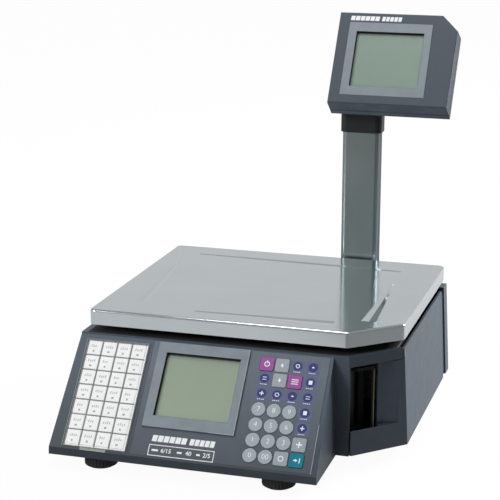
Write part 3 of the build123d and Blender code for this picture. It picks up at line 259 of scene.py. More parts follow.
def brushed(name, colour, rough, stretch, lines, depth=0.000008, grazing=None):
    """Brushed metal: fine lines along the long direction, faint smears and softened edges.

    `grazing` tints what it mirrors at flat angles.
    """
    n = Nodes(name)
    line = n.noise(1.0, detail=3, roughness=0.7, vector=n.stretched(stretch))
    smear = n.noise(9.0, detail=5, roughness=0.6)
    stain = n.ramp(smear, [(0.3, grey(0.94)), (0.65, grey(1.0))])
    rub = n.blend(0.5, n.spread(line, rough - 0.07, rough + 0.07),
                  n.spread(smear, rough - 0.04, rough + 0.05))
    n.feed(Base_Color=n.multiply(mottled(n, line, colour, lines, 0.25, 0.75), stain), Roughness=rub)
    n.set(Metallic=1.0)
    if grazing:
        n.set(Specular_Tint=(*grazing, 1.0))
    n.bump(line, 0.35, depth, SOFT_EDGE)
    return n.material


def printed(name, colour, rough=0.45):
    """Screen-printed ink: slightly uneven in tone and gloss."""
    n = Nodes(name)
    broad = n.noise(400, detail=4)
    fine = n.noise(5200, detail=1)
    n.feed(Base_Color=mottled(n, broad, colour, 0.05),
           Roughness=n.spread(fine, rough - 0.05, rough + 0.08))
    n.bump(fine, 0.3, 0.00001)
    return n.material


def crystal(name, colour, face):
    """Reflective liquid crystal cell on a face: faint pixel columns, a tone shift up its height."""
    n = Nodes(name)
    offset = n.value("ShaderNodeVectorMath", n.coords, face.at(0, 0), operation="SUBTRACT")
    height = n.value("ShaderNodeVectorMath", offset, face.y_dir, operation="DOT_PRODUCT")
    grade = n.ramp(height, [(0.0, shade(colour, 1.12)), (0.12, shade(colour, 0.93))])
    columns = n.new("ShaderNodeTexWave", wave_type="BANDS", bands_direction="X")
    columns.inputs["Scale"].default_value = 160
    n.link(n.coords, columns.inputs["Vector"])
    dots = n.ramp(columns.outputs["Fac"], [(0.0, grey(0.965)), (0.3, grey(1.0))])
    cloud = n.ramp(n.noise(22, detail=3), [(0.3, grey(0.96)), (0.7, grey(1.02))])
    n.feed(Base_Color=n.multiply(n.multiply(grade, dots), cloud),
           Roughness=n.spread(n.noise(300), 0.28, 0.4))
    return n.material


def clear(name, tint, alpha, rough=0.05, rim=None):
    """Clear sheet: see-through, with faint wipe marks in its gloss and, if told, a milky rim.

    A rim is (face, limits on it, width, alpha), its lengths in millimetres.
    """
    n = Nodes(name)
    wipes = n.noise(30, detail=6, roughness=0.7)
    n.feed(Base_Color=n.ramp(wipes, [(0.3, shade(tint, 0.94)), (0.7, tint)]),
           Roughness=n.spread(wipes, rough, rough + 0.08))
    n.set(Alpha=alpha, Specular_IOR_Level=0.5)
    if rim:
        face, (x0, x1, y0, y1), width, rim_alpha = rim
        edges = []
        for direction, low, high in ((face.x_dir, x0, x1), (face.y_dir, y0, y1)):
            middle = (face.origin.dot(direction) + (low + high) / 2) * MM
            limit = ((high - low) / 2 - width) * MM
            along = n.value("ShaderNodeVectorMath", n.coords, direction, operation="DOT_PRODUCT")
            offset = n.value("ShaderNodeMath", along, middle, operation="SUBTRACT")
            away = n.value("ShaderNodeMath", offset, operation="ABSOLUTE")
            edges.append(n.value("ShaderNodeMath", away, limit, operation="GREATER_THAN"))
        either = n.value("ShaderNodeMath", *edges, operation="MAXIMUM")
        n.feed(Alpha=between(n.tree, either, alpha, rim_alpha))
    return n.material


def board(name):
    """Circuit board: green mask over lighter copper tracks."""
    n = Nodes(name)
    tracks = n.new("ShaderNodeTexBrick")
    for key, value in (("Scale", 90.0), ("Mortar Size", 0.03), ("Color1", (0.01, 0.10, 0.045, 1)),
                       ("Color2", (0.015, 0.13, 0.05, 1)), ("Mortar", (0.04, 0.22, 0.09, 1))):
        tracks.inputs[key].default_value = value
    n.link(n.coords, tracks.inputs["Vector"])
    n.feed(Base_Color=tracks.outputs["Color"], Roughness=n.spread(n.noise(200), 0.25, 0.4))
    return n.material


def paper(name, colour, centre):
    """Paper wound about an upright axis: its edges show as fine rings."""
    n = Nodes(name)
    rings = n.new("ShaderNodeTexWave", wave_type="RINGS", rings_direction="Z")
    rings.inputs["Scale"].default_value = 900
    n.link(n.value("ShaderNodeVectorMath", n.coords, centre, operation="SUBTRACT"),
           rings.inputs["Vector"])
    n.feed(Base_Color=n.ramp(rings.outputs["Fac"], [(0.2, shade(colour, 0.86)), (0.8, colour)]),
           Roughness=n.spread(n.noise(300), 0.65, 0.8))
    return n.material


CASE = (0.070, 0.093, 0.123)
COVER_LIMITS = (-184.5, -104.0, 3.0, 139.3)      # the preset cover's sides on the console
ROLL_CENTRE = (0.136, 0.045, 0.0)                # a point on the label roll's axis
case = moulded("case", CASE, rough=0.48, specular=0.38)
# the housing's case colour, with painted shade darkening it low down
housing_case = moulded("case_housing", CASE, rough=0.48, specular=0.35, low=0.5)
# the case colour darkened for the head: painted shade on the same plastic
head_case_shaded = moulded("case_head_shaded", shade(CASE, 0.71), rough=0.48, specular=0.35)
black = moulded("black_moulding", (0.006, 0.009, 0.010), rough=0.45, edge=0.0004, specular=0.4)
# the panel film, with painted shade darkening it low down
panel = moulded("panel_film", (0.112, 0.138, 0.170), grain=3600, depth=0.00002, edge=0.0003,
                specular=0.35, low=0.5)
frame_grey = moulded("frame_grey", (0.194, 0.231, 0.264), rough=0.42)
white_card = moulded("card_white", (0.93, 0.94, 0.935), variation=0.02)
key_grey = moulded("key_grey", (0.333, 0.385, 0.429), variation=0.05, mottle=500)
key_pale = moulded("key_pale", (0.298, 0.345, 0.376), rough=0.48, variation=0.04, mottle=200)
key_magenta = moulded("key_magenta", (0.303, 0.056, 0.311), rough=0.45)
key_teal = moulded("key_teal", (0.002, 0.20, 0.265), specular=0.2)
spool_grey = moulded("spool_grey", (0.16, 0.17, 0.18))
vial = moulded("level_vial", (0.35, 0.55, 0.12), rough=0.2, depth=0.0, edge=0.0006)
rubber = rubbery("rubber", (0.008, 0.0085, 0.0095))
platen = rubbery("platen_rubber", (0.03, 0.03, 0.03), rough=0.6)
steel = brushed("pan_steel", (0.615, 0.665, 0.69), 0.13, (40, 4200, 4200), lines=0.07,
                depth=0.000004)
alu = brushed("cast_aluminium", (0.6, 0.61, 0.62), 0.42, (600, 600, 600), lines=0.05)
pole_metal = brushed("pole_metal", (0.275, 0.318, 0.315), 0.33, (3600, 3600, 30), lines=0.05,
                     grazing=(0.3, 0.33, 0.4))
zinc = brushed("plated_steel", (0.5, 0.51, 0.53), 0.35, (500, 500, 90), lines=0.05)
coated = moulded("coated_sheet", (0.009, 0.0115, 0.0125), rough=0.7, specular=0.2)
lcd_low = crystal("lcd_console", (0.175, 0.250, 0.146), CONSOLE)
lcd_high = crystal("lcd_head", (0.058, 0.152, 0.090), HEAD)
window = clear("window_clear", (0.9, 0.95, 0.92), 0.10)
cover = clear("cover_clear", (0.42, 0.48, 0.44), 0.02, rough=0.12,
              rim=(CONSOLE, COVER_LIMITS, 1.2, 0.45))
pcb = board("circuit_board")
roll_paper = paper("label_paper", (0.82, 0.8, 0.72), ROLL_CENTRE)
ink_white = printed("ink_white", (0.78, 0.80, 0.82))
ink_grey = printed("ink_grey", (0.281, 0.303, 0.326))
ink_dark = printed("ink_dark", (0.035, 0.04, 0.05))
ink_blue = printed("ink_blue", (0.007, 0.012, 0.130))
ink_haze = printed("ink_blue_pale", (0.073, 0.097, 0.192))
ink_grid = printed("ink_grid", (0.175, 0.183, 0.190))
ink_tab = printed("ink_tab", (0.27, 0.30, 0.25))
ink_mark = printed("ink_mark", (0.33, 0.34, 0.36))
# light ink for painted highlights on arrises and on the door's corner
arris_highlight_ink = printed("arris_painted_highlight", (0.40, 0.45, 0.50), rough=0.35)
peel = printed("peel_bar", (0.05, 0.047, 0.03), rough=0.5)
# light ink for the painted highlight on the peel bar's edge
peel_highlight_ink = printed("peel_painted_highlight", (0.42, 0.40, 0.24), rough=0.3)

# the look of each material slot, and of the nodes that differ from their slot's
SLOT_LOOKS = {
    "case_plastic": case, "collar_plastic": black, "panel_film": panel, "frame_plastic": frame_grey,
    "window_clear": window, "lcd": lcd_low, "lcd_head": lcd_high, "circuit_board": pcb,
    "card_white": white_card, "cover_clear": cover, "pan_steel": steel, "cast_aluminium": alu,
    "soft_pads": rubber, "foot_plastic": rubber, "pole_metal": pole_metal, "screw_steel": zinc,
    "supply_box": zinc, "level_vial": vial, "socket_plastic": black, "printer_metal": coated,
    "motor_metal": zinc, "platen_rubber": platen, "label_paper": roll_paper,
    "spool_plastic": spool_grey, "key_magenta": key_magenta, "key_teal": key_teal,
    "key_grey": key_grey, "key_pale": key_pale,
}
NODE_LOOKS = {"housing": housing_case, "head_bezel": head_case_shaded, "head_shell": head_case_shaded,
              "peel_bar": peel}
for part in frame["record"]["subparts"]:
    look = NODE_LOOKS.get(part["node"], SLOT_LOOKS[part["material_slot"]])
    mesh = frame["nodes"][part["node"]].data
    mesh.materials.clear()
    mesh.materials.append(look)


# ---- making pieces ------------------------------------------------------------------------
INK = 0.03                    # thickness of one printed layer


def add_object(name, data):
    thing = bpy.data.objects.new(name, data)
    bpy.context.scene.collection.objects.link(thing)
    return thing


def box_outline(x0, x1, y0, y1):
    return [(x0, y0), (x1, y0), (x1, y1), (x0, y1)]


def on_circle(x, y, radius, turn):
    """The point of a circle at a share of a full turn."""
    return x + radius * math.cos(2 * math.pi * turn), y + radius * math.sin(2 * math.pi * turn)


def round_outline(x, y, radius, count=28):
    return [on_circle(x, y, radius, i / count) for i in range(count)]


def rounded_outline(x0, x1, y0, y1, radius, count=5):
    """A rectangle with rounded corners."""
    points = []
    for cx, cy, start in ((x1 - radius, y0 + radius, -90), (x1 - radius, y1 - radius, 0),
                          (x0 + radius, y1 - radius, 90), (x0 + radius, y0 + radius, 180)):
        for i in range(count + 1):
            angle = math.radians(start + 90 * i / count)
            points.append((cx + radius * math.cos(angle), cy + radius * math.sin(angle)))
    return points


def frame_outlines(x0, x1, y0, y1, left, right, low, high):
    """The four bars of a frame inside a rectangle, each with its own width."""
    return [box_outline(x0, x0 + left, y0, y1), box_outline(x1 - right, x1, y0, y1),
            box_outline(x0 + left, x1 - right, y1 - high, y1),
            box_outline(x0 + left, x1 - right, y0, y0 + low)]


def arrow(x, y, size, turn):
    """An arrow's outline, turned by quarter turns."""
    shape = [(-0.5, -0.1), (0, 0.6), (0.5, -0.1), (0.18, -0.1), (0.18, -0.6), (-0.18, -0.6),
             (-0.18, -0.1)]
    c, s = round(math.cos(turn * math.pi / 2)), round(math.sin(turn * math.pi / 2))
    return [(x + size * (c * a - s * b), y + size * (s * a + c * b)) for a, b in shape]


def cross(x, y, size, thick):
    return [box_outline(x - size, x + size, y - thick, y + thick),
            box_outline(x - thick, x + thick, y + thick, y + size),
            box_outline(x - thick, x + thick, y - size, y - thick)]


def bars(x, y, half, thick, places):
    """Level bars at places above and below the middle."""
    return [box_outline(x - half, x + half, y + place - thick, y + place + thick)
            for place in places]


def ring(x, y, radius, width, count=20):
    """A ring as a row of short plates."""
    pieces = []
    for i in range(count):
        corners = ((radius - width, i), (radius, i), (radius, i + 1), (radius - width, i + 1))
        pieces.append([on_circle(x, y, r, turn / count) for r, turn in corners])
    return pieces


def block_row(x0, x1, y0, y1, count, lean=0.9, gap=1.0):
    """A row of leaning blocks in the place of a word."""
    width = (x1 - x0 - gap * (count - 1)) / count
    row = []
    for i in range(count):
        x = x0 + (width + gap) * i
        row.append([(x, y0), (x + width, y0), (x + width + lean, y1), (x + lean, y1)])
    return row


def raised(outlines, low, thick):
    """The outlines as the shapes of plates, all from the same height."""
    return [(outline, low, low + thick) for outline in outlines]


def plates(name, face, shapes, look, body):
    """Thin plates on a face, as one piece: each shape is (outline, low, high)."""
    bm = bmesh.new()
    for outline, low, high in shapes:
        rings = [[bm.verts.new(face.at(x, y, h)) for x, y in outline] for h in (low, high)]
        bm.faces.new(list(reversed(rings[0])))
        bm.faces.new(rings[1])
        for i in range(len(outline)):
            j = (i + 1) % len(outline)
            bm.faces.new((rings[0][i], rings[0][j], rings[1][j], rings[1][i]))
    mesh = bpy.data.meshes.new(name)
    bm.to_mesh(mesh)
    bm.free()
    mesh.materials.append(look)
    piece = add_object(name, mesh)
    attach(piece, body)
    return piece


def digits(name, face, text, x, y, height, size, look, body, bolder=0.0):
    """A number as a layer of ink on a face."""
    curve = bpy.data.curves.new(name, "FONT")
    curve.body = text
    curve.size = size * MM
    curve.extrude = INK / 2 * MM
    curve.offset = bolder * MM
    curve.align_x = "CENTER"
    curve.align_y = "CENTER"
    curve.resolution_u = 3
    drawn = bpy.data.objects.new(name + "_curve", curve)
    mesh = bpy.data.meshes.new_from_object(drawn)
    mesh.name = name
    bpy.data.objects.remove(drawn)
    bpy.data.curves.remove(curve)
    mesh.transform(face.matrix(x, y, height + INK / 2))
    mesh.materials.clear()
    mesh.materials.append(look)
    piece = add_object(name, mesh)
    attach(piece, body)
    return piece


# ---- keypad -------------------------------------------------------------------------------
KEY_X, KEY_V = 43.86, 128.84          # the first key's centre, and the pitch of the keys
PITCH_X, PITCH_V = 18.45, 18.68
CAP = 0.9                             # key caps' height above the panel
DIGIT_SIZE, DIGIT_BORDER = 8.5, 0.45
SYMBOL = 0.04                         # thickness of the symbols on the caps


def key_centre(row, column):
    return KEY_X + PITCH_X * column, KEY_V - PITCH_V * row


# white digits with a grey border on the round keys
ROUND_DIGITS = {(3, 0): "7", (3, 1): "8", (3, 2): "9", (4, 0): "4", (4, 1): "5", (4, 2): "6",
                (5, 0): "1", (5, 1): "2", (5, 2): "3", (6, 0): "0", (6, 1): "00"}
for (row, column), text in ROUND_DIGITS.items():
    x, v = key_centre(row, column)
    body = f"key_{row + 1}_{column + 1}"
    digits(body + "_outline", CONSOLE, text, x, v, CAP, DIGIT_SIZE, ink_grey, body,
           DIGIT_BORDER)
    digits(body + "_digit", CONSOLE, text, x, v, CAP + INK, DIGIT_SIZE, ink_white, body)

# white symbols on the keys without a digit
SQUARE_MARKS = {
    (0, 0): lambda x, v: ring(x, v, 3.4, 1.1) + [box_outline(x - 0.5, x + 0.5, v + 1.0, v + 4.6)],
    (0, 1): lambda x, v: [arrow(x, v, 4.2, 0)],
    (1, 1): lambda x, v: [arrow(x, v, 4.2, 2)],
    (1, 2): lambda x, v: bars(x, v, 4.2, 0.55, (-2.6, 0, 2.6)),
    (5, 3): lambda x, v: cross(x, v, 3.6, 0.8),
    (6, 2): lambda x, v: ring(x, v, 3.4, 1.0),
    (6, 3): lambda x, v: [arrow(x - 1.0, v, 4.0, 3),
                          box_outline(x + 3.0, x + 4.2, v - 3.0, v + 3.0)],
}
for (row, column), marks in SQUARE_MARKS.items():
    x, v = key_centre(row, column)
    body = f"key_{row + 1}_{column + 1}"
    plates(body + "_symbol", CONSOLE, raised(marks(x, v), CAP, SYMBOL), ink_white, body)

# printed membrane keys: a dark blue disc on a paler patch, with a white symbol and a caption line
PRINTED = [(0, 2), (0, 3), (1, 0), (1, 3), (2, 0), (2, 1), (2, 2), (2, 3), (3, 3), (4, 3)]
PATCH_HALF, PATCH_ROUND = 8.4, 2.4
DISC_RISE, DISC_RADIUS = 1.2, 5.6
DASH_START, DASH_PITCH, DASH_LONG = -4.2, 2.2, 1.4       # the caption's dashes
DASH_LOW, DASH_HIGH = -6.6, -5.7
PRINTED_MARKS = [
    lambda x, v: ring(x, v, 2.6, 0.9),
    lambda x, v: [arrow(x, v, 2.8, 1)],
    lambda x, v: bars(x, v, 2.4, 0.4, (-1.4, 1.4)),
    lambda x, v: [box_outline(x - 2.2, x + 2.2, v - 2.4, v + 2.4)],
    lambda x, v: cross(x, v, 2.6, 0.6),
]
patches, discs, symbols = [], [], []
for index, (row, column) in enumerate(PRINTED):
    x, v = key_centre(row, column)
    disc_v = v + DISC_RISE
    marks = PRINTED_MARKS[index % len(PRINTED_MARKS)]
    patches.append(rounded_outline(x - PATCH_HALF, x + PATCH_HALF, v - PATCH_HALF, v + PATCH_HALF,
                                   PATCH_ROUND))
    discs.append(round_outline(x, disc_v, DISC_RADIUS))
    symbols += raised(marks(x, disc_v), 2 * INK, INK)
    dashes = [x + DASH_START + DASH_PITCH * i for i in range(4)]
    caption = [box_outline(left, left + DASH_LONG, v + DASH_LOW, v + DASH_HIGH) for left in dashes]
    symbols += raised(caption, INK, INK)
plates("panel_blue_patches", CONSOLE, raised(patches, 0.0, INK), ink_haze, "case")
plates("panel_blue_discs", CONSOLE, raised(discs, INK, INK), ink_blue, "case")
plates("panel_symbols", CONSOLE, symbols, ink_white, "case")


# ---- console below the display ------------------------------------------------------------
# capacity line in its outlined box: numbers, with short bars in the place of words
BOX_LEFT, BOX_RIGHT, BOX_LOW, BOX_HIGH, BOX_LINE = -77.6, 2.2, 3.2, 16.8, 0.9
BAR_LOW, BAR_HIGH = 9.0, 11.2
CAPACITY_V, CAPACITY_SIZE, CAPACITY_BOLDER = 10.2, 7.2, 0.12
NAME_LOW, NAME_HIGH = 20.6, 28.2
inner_low, inner_high = BOX_LOW + BOX_LINE, BOX_HIGH - BOX_LINE
lines = [box_outline(BOX_LEFT, BOX_RIGHT, inner_high, BOX_HIGH),
         box_outline(BOX_LEFT, BOX_RIGHT, BOX_LOW, inner_low),
         box_outline(BOX_LEFT, BOX_LEFT + BOX_LINE, inner_low, inner_high),
         box_outline(BOX_RIGHT - BOX_LINE, BOX_RIGHT, inner_low, inner_high)]
for left, right in ((-73.5, -65.5), (-42.5, -36.5), (-19.0, -14.5)):
    lines.append(box_outline(left, right, BAR_LOW, BAR_HIGH))
# above it, blocks in the place of a name
names = block_row(-76.0, -34.0, NAME_LOW, NAME_HIGH, 6)
names += block_row(-30.0, 0.0, NAME_LOW, NAME_HIGH, 5)
plates("panel_capacity_box", CONSOLE, raised(lines + names, 0.0, INK), ink_white, "case")
for index, (text, x) in enumerate((("6/15", -56.0), ("40", -28.5), ("2/5", -6.5))):
    digits(f"panel_capacity_{index + 1}", CONSOLE, text, x, CAPACITY_V, 0.0, CAPACITY_SIZE,
           ink_white, "case", CAPACITY_BOLDER)


# ---- preset card --------------------------------------------------------------------------
# each cell: a row of small marks and one below it; grey lines between the cells
PRESET_LEFT, PRESET_TOP = -180.7, 136.6          # the first cell's corner, and the cells' pitch
PRESET_PITCH_X, PRESET_PITCH_V = 18.7, 18.88
PRESET_ROWS, PRESET_COLUMNS = 7, 4
CARD, CELL = 0.4, 0.9                            # tops of the card and of its cells
MARK_X, MARK_DROP, MARK_PITCH = 3.4, 7.8, 2.5    # the marks' place in a cell
MARK_SHORT, MARK_LONG = 2.6, 3.4
MARK_FOOT, MARK_TIP = (0.0, 1.1), (0.8, 1.7)     # a mark's ends in X, at its foot and its tip
LOWER_X, LOWER_LONG, LOWER_MORE = 6.4, 2.2, 0.6  # the mark below them
LOWER_V = (-14.0, -11.6)
GRID_LEFT, GRID_RIGHT, GRID_LOW, GRID_HIGH = -182.2, -106.4, 4.8, 137.4
GRID_LINE_X, GRID_LINE_V = (-2.0, -0.2), (0.25, 1.65)    # a line's edges beside a cell's corner
marks = []
for row in range(PRESET_ROWS):
    for column in range(PRESET_COLUMNS):
        x = PRESET_LEFT + PRESET_PITCH_X * column
        v = PRESET_TOP - PRESET_PITCH_V * row
        kind = (row * 3 + column * 5) % 4
        foot = v - MARK_DROP
        for i in range(4 if kind else 3):
            tip = foot + (MARK_SHORT if (i + kind) % 3 else MARK_LONG)
            left = x + MARK_X + MARK_PITCH * i
            marks.append([(left + MARK_FOOT[0], foot), (left + MARK_FOOT[1], foot),
                          (left + MARK_TIP[1], tip), (left + MARK_TIP[0], tip)])
        marks.append(box_outline(x + LOWER_X, x + LOWER_X + LOWER_LONG + LOWER_MORE * (kind % 2),
                                 v + LOWER_V[0], v + LOWER_V[1]))
plates("preset_marks", CONSOLE, raised(marks, CELL, INK), ink_mark, "case")
grid = []
for column in range(1, PRESET_COLUMNS):
    x = PRESET_LEFT + PRESET_PITCH_X * column
    grid.append(box_outline(x + GRID_LINE_X[0], x + GRID_LINE_X[1], GRID_LOW, GRID_HIGH))
for row in range(1, PRESET_ROWS):
    v = PRESET_TOP - PRESET_PITCH_V * row
    grid.append(box_outline(GRID_LEFT, GRID_RIGHT, v + GRID_LINE_V[0], v + GRID_LINE_V[1]))
# the card's darker left and top margins
grid += [box_outline(-182.6, -181.0, GRID_LOW, 137.6), box_outline(-181.0, -106.2, 136.9, 137.8)]
plates("preset_grid", CONSOLE, raised(grid, CARD, INK), ink_grid, "case")
tab = [box_outline(-160.8, -129.2, 0.4, 4.2)]
plates("preset_tab", CONSOLE, raised(tab, CARD, INK), ink_tab, "case")


# ---- painted edge highlights and painted shade --------------------------------------------
FRAME_PROUD, BEZEL_PROUD = 2.0, 0.4   # the frames' faces above the console and the head
# painted highlights on the display frame's arrises: its right and lower ones
frame_edge_highlight = [box_outline(20.5, 21.05, 37.3, 143.5), box_outline(-10.0, 20.5, 37.3, 37.8)]
plates("display_frame_edge_highlight", CONSOLE, raised(frame_edge_highlight, FRAME_PROUD, INK), arris_highlight_ink, "case")
# painted shade along the panel's top and right edges, and a painted highlight on the arris below it
panel_edge_shade_bars = [box_outline(22.0, 118.3, 144.1, 144.7), box_outline(117.7, 118.3, 64.0, 144.1)]
plates("panel_edge_shade", CONSOLE, raised(panel_edge_shade_bars, 0.0, INK), ink_dark, "case")
# painted highlight on the lower part of the panel's right arris
panel_edge_highlight = [box_outline(117.8, 118.3, 2.8, 62.0)]
plates("panel_edge_highlight", CONSOLE, raised(panel_edge_highlight, 0.0, INK), arris_highlight_ink, "case")
# black sheet on the deck under the pan's front, corner and right edges, as painted shade in the gap
# under the pan
PAN_GAP_SHADE_THICK = 0.2                            # its thickness
pan_gap_shade = [[(-186.0, -149.0), (139.8, -149.0), (150.0, -138.8), (150.0, -110.0), (-186.0, -110.0)],
        [(150.0, -138.8), (190.3, -98.5), (186.0, -97.0), (186.0, 150.0), (150.0, 150.0)]]
plates("deck_pan_gap_shade", DECK, raised(pan_gap_shade, 0.0, PAN_GAP_SHADE_THICK), rubber, "case")


# ---- display openings ---------------------------------------------------------------------
SHADE_DEEP, SHADE_TOP = 3.2, 0.15     # the painted shade walls' foot and top, below the frame's face
SHADE_WALL, SHADOW_INK = 0.25, 0.04         # thicknesses of the shade walls and of the band of painted shadow


def shade_opening(name, face, opening, mask, proud, body):
    """Painted shade in a display opening: black walls inside it, and a dark band along its window's
    edge as its painted shadow.

    A mask is its widths at the left, right, bottom and top.
    """
    x0, x1, y0, y1 = opening
    foot = proud - SHADE_DEEP
    walls = frame_outlines(x0, x1, y0, y1, *[SHADE_WALL] * 4)
    shadow_band = frame_outlines(x0 + SHADE_WALL, x1 - SHADE_WALL, y0 + SHADE_WALL, y1 - SHADE_WALL,
                            *mask)
    shapes = raised(walls, foot, SHADE_DEEP - SHADE_TOP) + raised(shadow_band, foot, SHADOW_INK)
    plates(name, face, shapes, black, body)


shade_opening("display_opening_shade", CONSOLE, (-80.4, 11.8, 51.3, 130.8), (1.0, 0.3, 0.3, 1.6), FRAME_PROUD,
      "case")
shade_opening("head_opening_shade", HEAD, (59.9, 151.4, 24.3, 104.1), (0.6, 0.3, 0.3, 1.4), BEZEL_PROUD,
      "display_head")


# ---- head, printer and rear ---------------------------------------------------------------
# head: blocks in the place of a name
HEAD_NAME_LOW, HEAD_NAME_HIGH = 120.2, 126.8
name_blocks = block_row(49.0, 88.0, HEAD_NAME_LOW, HEAD_NAME_HIGH, 6)
name_blocks += block_row(91.5, 118.0, HEAD_NAME_LOW, HEAD_NAME_HIGH, 5)
plates("head_bars", HEAD, raised(name_blocks, 0.0, INK), ink_white, "display_head")

# printer: a painted highlight on the peel bar's edge, and a painted highlight at the door's top
# front corner
PEEL_FACE, PEEL_HIGHLIGHT = -7.99, 0.09   # the bar's face behind the cut corner, and the strip of painted highlight on it
DOOR_HIGHLIGHT = 0.35                          # thickness of the painted highlight at the door's corner
peel_highlight = [box_outline(34.3, 34.9, 36.0, 116.0)]
plates("peel_bar_highlight", CORNER, raised(peel_highlight, PEEL_FACE, PEEL_HIGHLIGHT), peel_highlight_ink, "case")
plates("door_corner_highlight", SIDE, raised([rounded_outline(-95.0, -93.4, 111.5, 121.0, 0.7)], 0.0, DOOR_HIGHLIGHT),
       arris_highlight_ink, "printer_door")

# rear: rating plate without words, and a symbol by the switch
PLATE, PLATE_INK = 0.15, 0.02         # thicknesses of the plate and of the lines on it
rating = [box_outline(-4, 38 - 7 * (i % 3), 104 - 5.5 * i, 105.6 - 5.5 * i) for i in range(5)]
switch_mark = ring(122, 72, 3.2, 0.7) + [box_outline(121.6, 122.4, 72, 76)]
plates("rear_rating_plate", REAR, raised([rounded_outline(-10, 44, 78, 112, 2.0)], 0.0, PLATE),
       zinc, "case")
plates("rear_rating_lines", REAR, raised(rating, PLATE, PLATE_INK), ink_dark, "case")
plates("rear_switch_symbol", REAR, raised(switch_mark, 0.0, INK), ink_white, "case")


# ---- floor, lights and camera -------------------------------------------------------------
# strength of the studio's glow by direction, for diffuse rays and as mirrored in glossy faces
WORLD_GLOW = {"top": 0.02, "top_rear": 0.6, "rear": 0.68, "front_left": 0.55, "front_right": 0.015}
WORLD_SHINE = {"top": 0.3, "top_rear": 0.46, "front_right": 0.45}
# the directions' X, Y and Z between which those glows pass into each other
LEFT_TO_RIGHT = (-0.3, 0.4)
FRONT_TO_REAR = (0.05, 0.65)
TOP_TO_REAR = (-0.05, 0.35)
LEVEL_TO_TOP = (0.42, 0.8)
SHINE_TO_TOP = (0.34, 0.5)
SHINE_TO_RIGHT = (0.3, 0.6)
SHINE_TO_FRONT = (-0.1, -0.4)
BACKDROP = 0.98                       # the world as the camera sees it

# the floor's glow, open and on the shaded side, for diffuse rays and as mirrored in glossy faces
FLOOR_GLOW = {"open": 0.11, "shaded": 0.015}
FLOOR_SHINE = {"open": 0.42, "shaded": 0.01}
FLOOR_SEEN = 0.955                    # the floor's glow as the camera sees it
FLOOR_HALF = 30.0
FLOOR_TONES = (0.18, 0.19)
FLOOR_TONE_SEEN = 0.025               # the floor's own tone as the camera sees it
SHADED_SIDE = (0.8, -0.6, 0.0)        # direction from the open to the shaded side of the floor
OPEN_TO_SHADED = (0.3, 0.55)

LIGHTS = [                            # name, place, target, size, power in watts
    ("left_light", (-1.9, -2.0, 1.7), (0, -0.1, 0.15), 1.3, 50),
    ("right_light", (2.0, 2.05, 1.5), (0.1, 0, 0.15), 1.2, 140),
    ("top_light", (-0.1, -0.3, 2.6), (0, 0.0, 0.15), 1.5, 33),
    ("edge_light", (1.1, -0.9, 2.3), (0.15, -0.1, 0.15), 0.8, 1.6),
]

CAMERA_PLACE = (0.51237, -1.79267, 0.70524)
CAMERA_RIGHT = (0.96184605, 0.27351449, 0.0064798)
CAMERA_UP = (-0.07370942, 0.23625399, 0.96889162)
CAMERA_LENS, CAMERA_SENSOR = 109.96, 36.0        # millimetres
CAMERA_SHIFT = (-0.0483, -0.0149)
CAMERA_REACH = 100.0


def make_floor():
    """A floor that is white to the camera; to other rays a dim grey, darker at the front right."""
    mesh = bpy.data.meshes.new("floor")
    corners = [(x, y, 0) for x, y in box_outline(-FLOOR_HALF, FLOOR_HALF, -FLOOR_HALF, FLOOR_HALF)]
    mesh.from_pydata(corners, [], [(0, 1, 2, 3)])
    n = Nodes("floor_white")
    n.set(Roughness=0.9, Specular_IOR_Level=0.1, Emission_Color=(1, 1, 1, 1))
    side = n.value("ShaderNodeVectorMath", n.coords, SHADED_SIDE, operation="DOT_PRODUCT")
    share = step(n.tree, side, *OPEN_TO_SHADED)
    path = n.new("ShaderNodeLightPath").outputs
    tone = n.ramp(n.noise(3.0), list(zip(NOISE_RANGE, map(grey, FLOOR_TONES))))
    glow = between(n.tree, path["Is Glossy Ray"],
                   between(n.tree, share, FLOOR_GLOW["open"], FLOOR_GLOW["shaded"]),
                   between(n.tree, share, FLOOR_SHINE["open"], FLOOR_SHINE["shaded"]))
    n.feed(Base_Color=n.blend(path["Is Camera Ray"], tone, grey(FLOOR_TONE_SEEN)),
           Emission_Strength=between(n.tree, path["Is Camera Ray"], glow, FLOOR_SEEN))
    mesh.materials.append(n.material)
    floor = add_object("floor", mesh)


def make_light(name, place, target, size, power):
    lamp = bpy.data.lights.new(name, "AREA")
    lamp.shape = "DISK"
    lamp.size = size
    lamp.energy = power
    holder = add_object(name, lamp)
    holder.location = place
    direction = Vector(target) - Vector(place)
    holder.rotation_euler = direction.to_track_quat("-Z", "Y").to_euler()


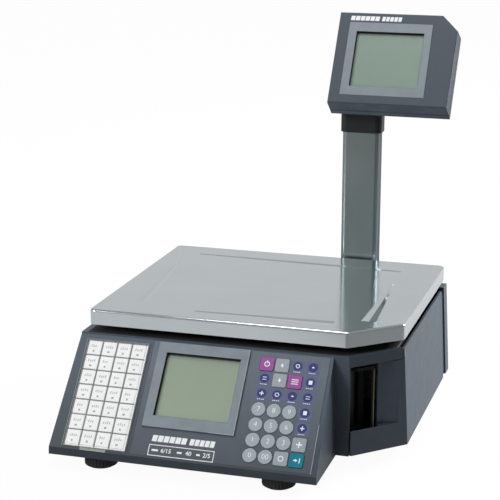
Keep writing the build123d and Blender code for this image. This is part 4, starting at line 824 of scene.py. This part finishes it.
def make_world():
    """A studio bright behind and at the front left, darker at the front right and overhead.

    Glossy faces mirror a more even top and a brighter front right; the camera sees plain white.
    """
    world = bpy.data.worlds.new("studio")
    world.use_nodes = True
    tree = world.node_tree
    coords = tree.nodes.new("ShaderNodeTexCoord")
    parts = tree.nodes.new("ShaderNodeSeparateXYZ")
    tree.links.new(coords.outputs["Generated"], parts.inputs["Vector"])
    x, y, z = parts.outputs
    front = between(tree, step(tree, x, *LEFT_TO_RIGHT), WORLD_GLOW["front_left"],
                    WORLD_GLOW["front_right"])
    level = between(tree, step(tree, y, *FRONT_TO_REAR), front, WORLD_GLOW["rear"])
    rearward = step(tree, y, *TOP_TO_REAR)
    top = between(tree, rearward, WORLD_GLOW["top"], WORLD_GLOW["top_rear"])
    glow = between(tree, step(tree, z, *LEVEL_TO_TOP), level, top)
    right = new_value(tree, "ShaderNodeMath", step(tree, x, *SHINE_TO_RIGHT),
                      step(tree, y, *SHINE_TO_FRONT), operation="MULTIPLY")
    shine_level = between(tree, right, level, WORLD_SHINE["front_right"])
    shine_top = between(tree, rearward, WORLD_SHINE["top"], WORLD_SHINE["top_rear"])
    shine = between(tree, step(tree, z, *SHINE_TO_TOP), shine_level, shine_top)
    path = tree.nodes.new("ShaderNodeLightPath").outputs
    studio = tree.nodes["Background"]
    backdrop = tree.nodes.new("ShaderNodeBackground")
    for background in (studio, backdrop):
        background.inputs["Color"].default_value = (1, 1, 1, 1)
    tree.links.new(between(tree, path["Is Glossy Ray"], glow, shine), studio.inputs["Strength"])
    backdrop.inputs["Strength"].default_value = BACKDROP
    mixed = new_value(tree, "ShaderNodeMixShader", path["Is Camera Ray"], studio.outputs[0],
                      backdrop.outputs[0])
    tree.links.new(mixed, tree.nodes["World Output"].inputs["Surface"])
    bpy.context.scene.world = world


def make_camera():
    data = bpy.data.cameras.new("camera")
    data.lens = CAMERA_LENS
    data.sensor_width = CAMERA_SENSOR
    data.shift_x, data.shift_y = CAMERA_SHIFT
    data.clip_end = CAMERA_REACH
    camera = add_object("camera", data)
    right, up = Vector(CAMERA_RIGHT), Vector(CAMERA_UP)
    turned = Matrix((right, up, right.cross(up))).transposed().to_4x4()
    turned.translation = CAMERA_PLACE
    camera.matrix_world = turned
    bpy.context.scene.camera = camera


make_floor()
make_world()
make_camera()
for light in LIGHTS:
    make_light(*light)
bpy.context.scene.view_settings.view_transform = "Standard"
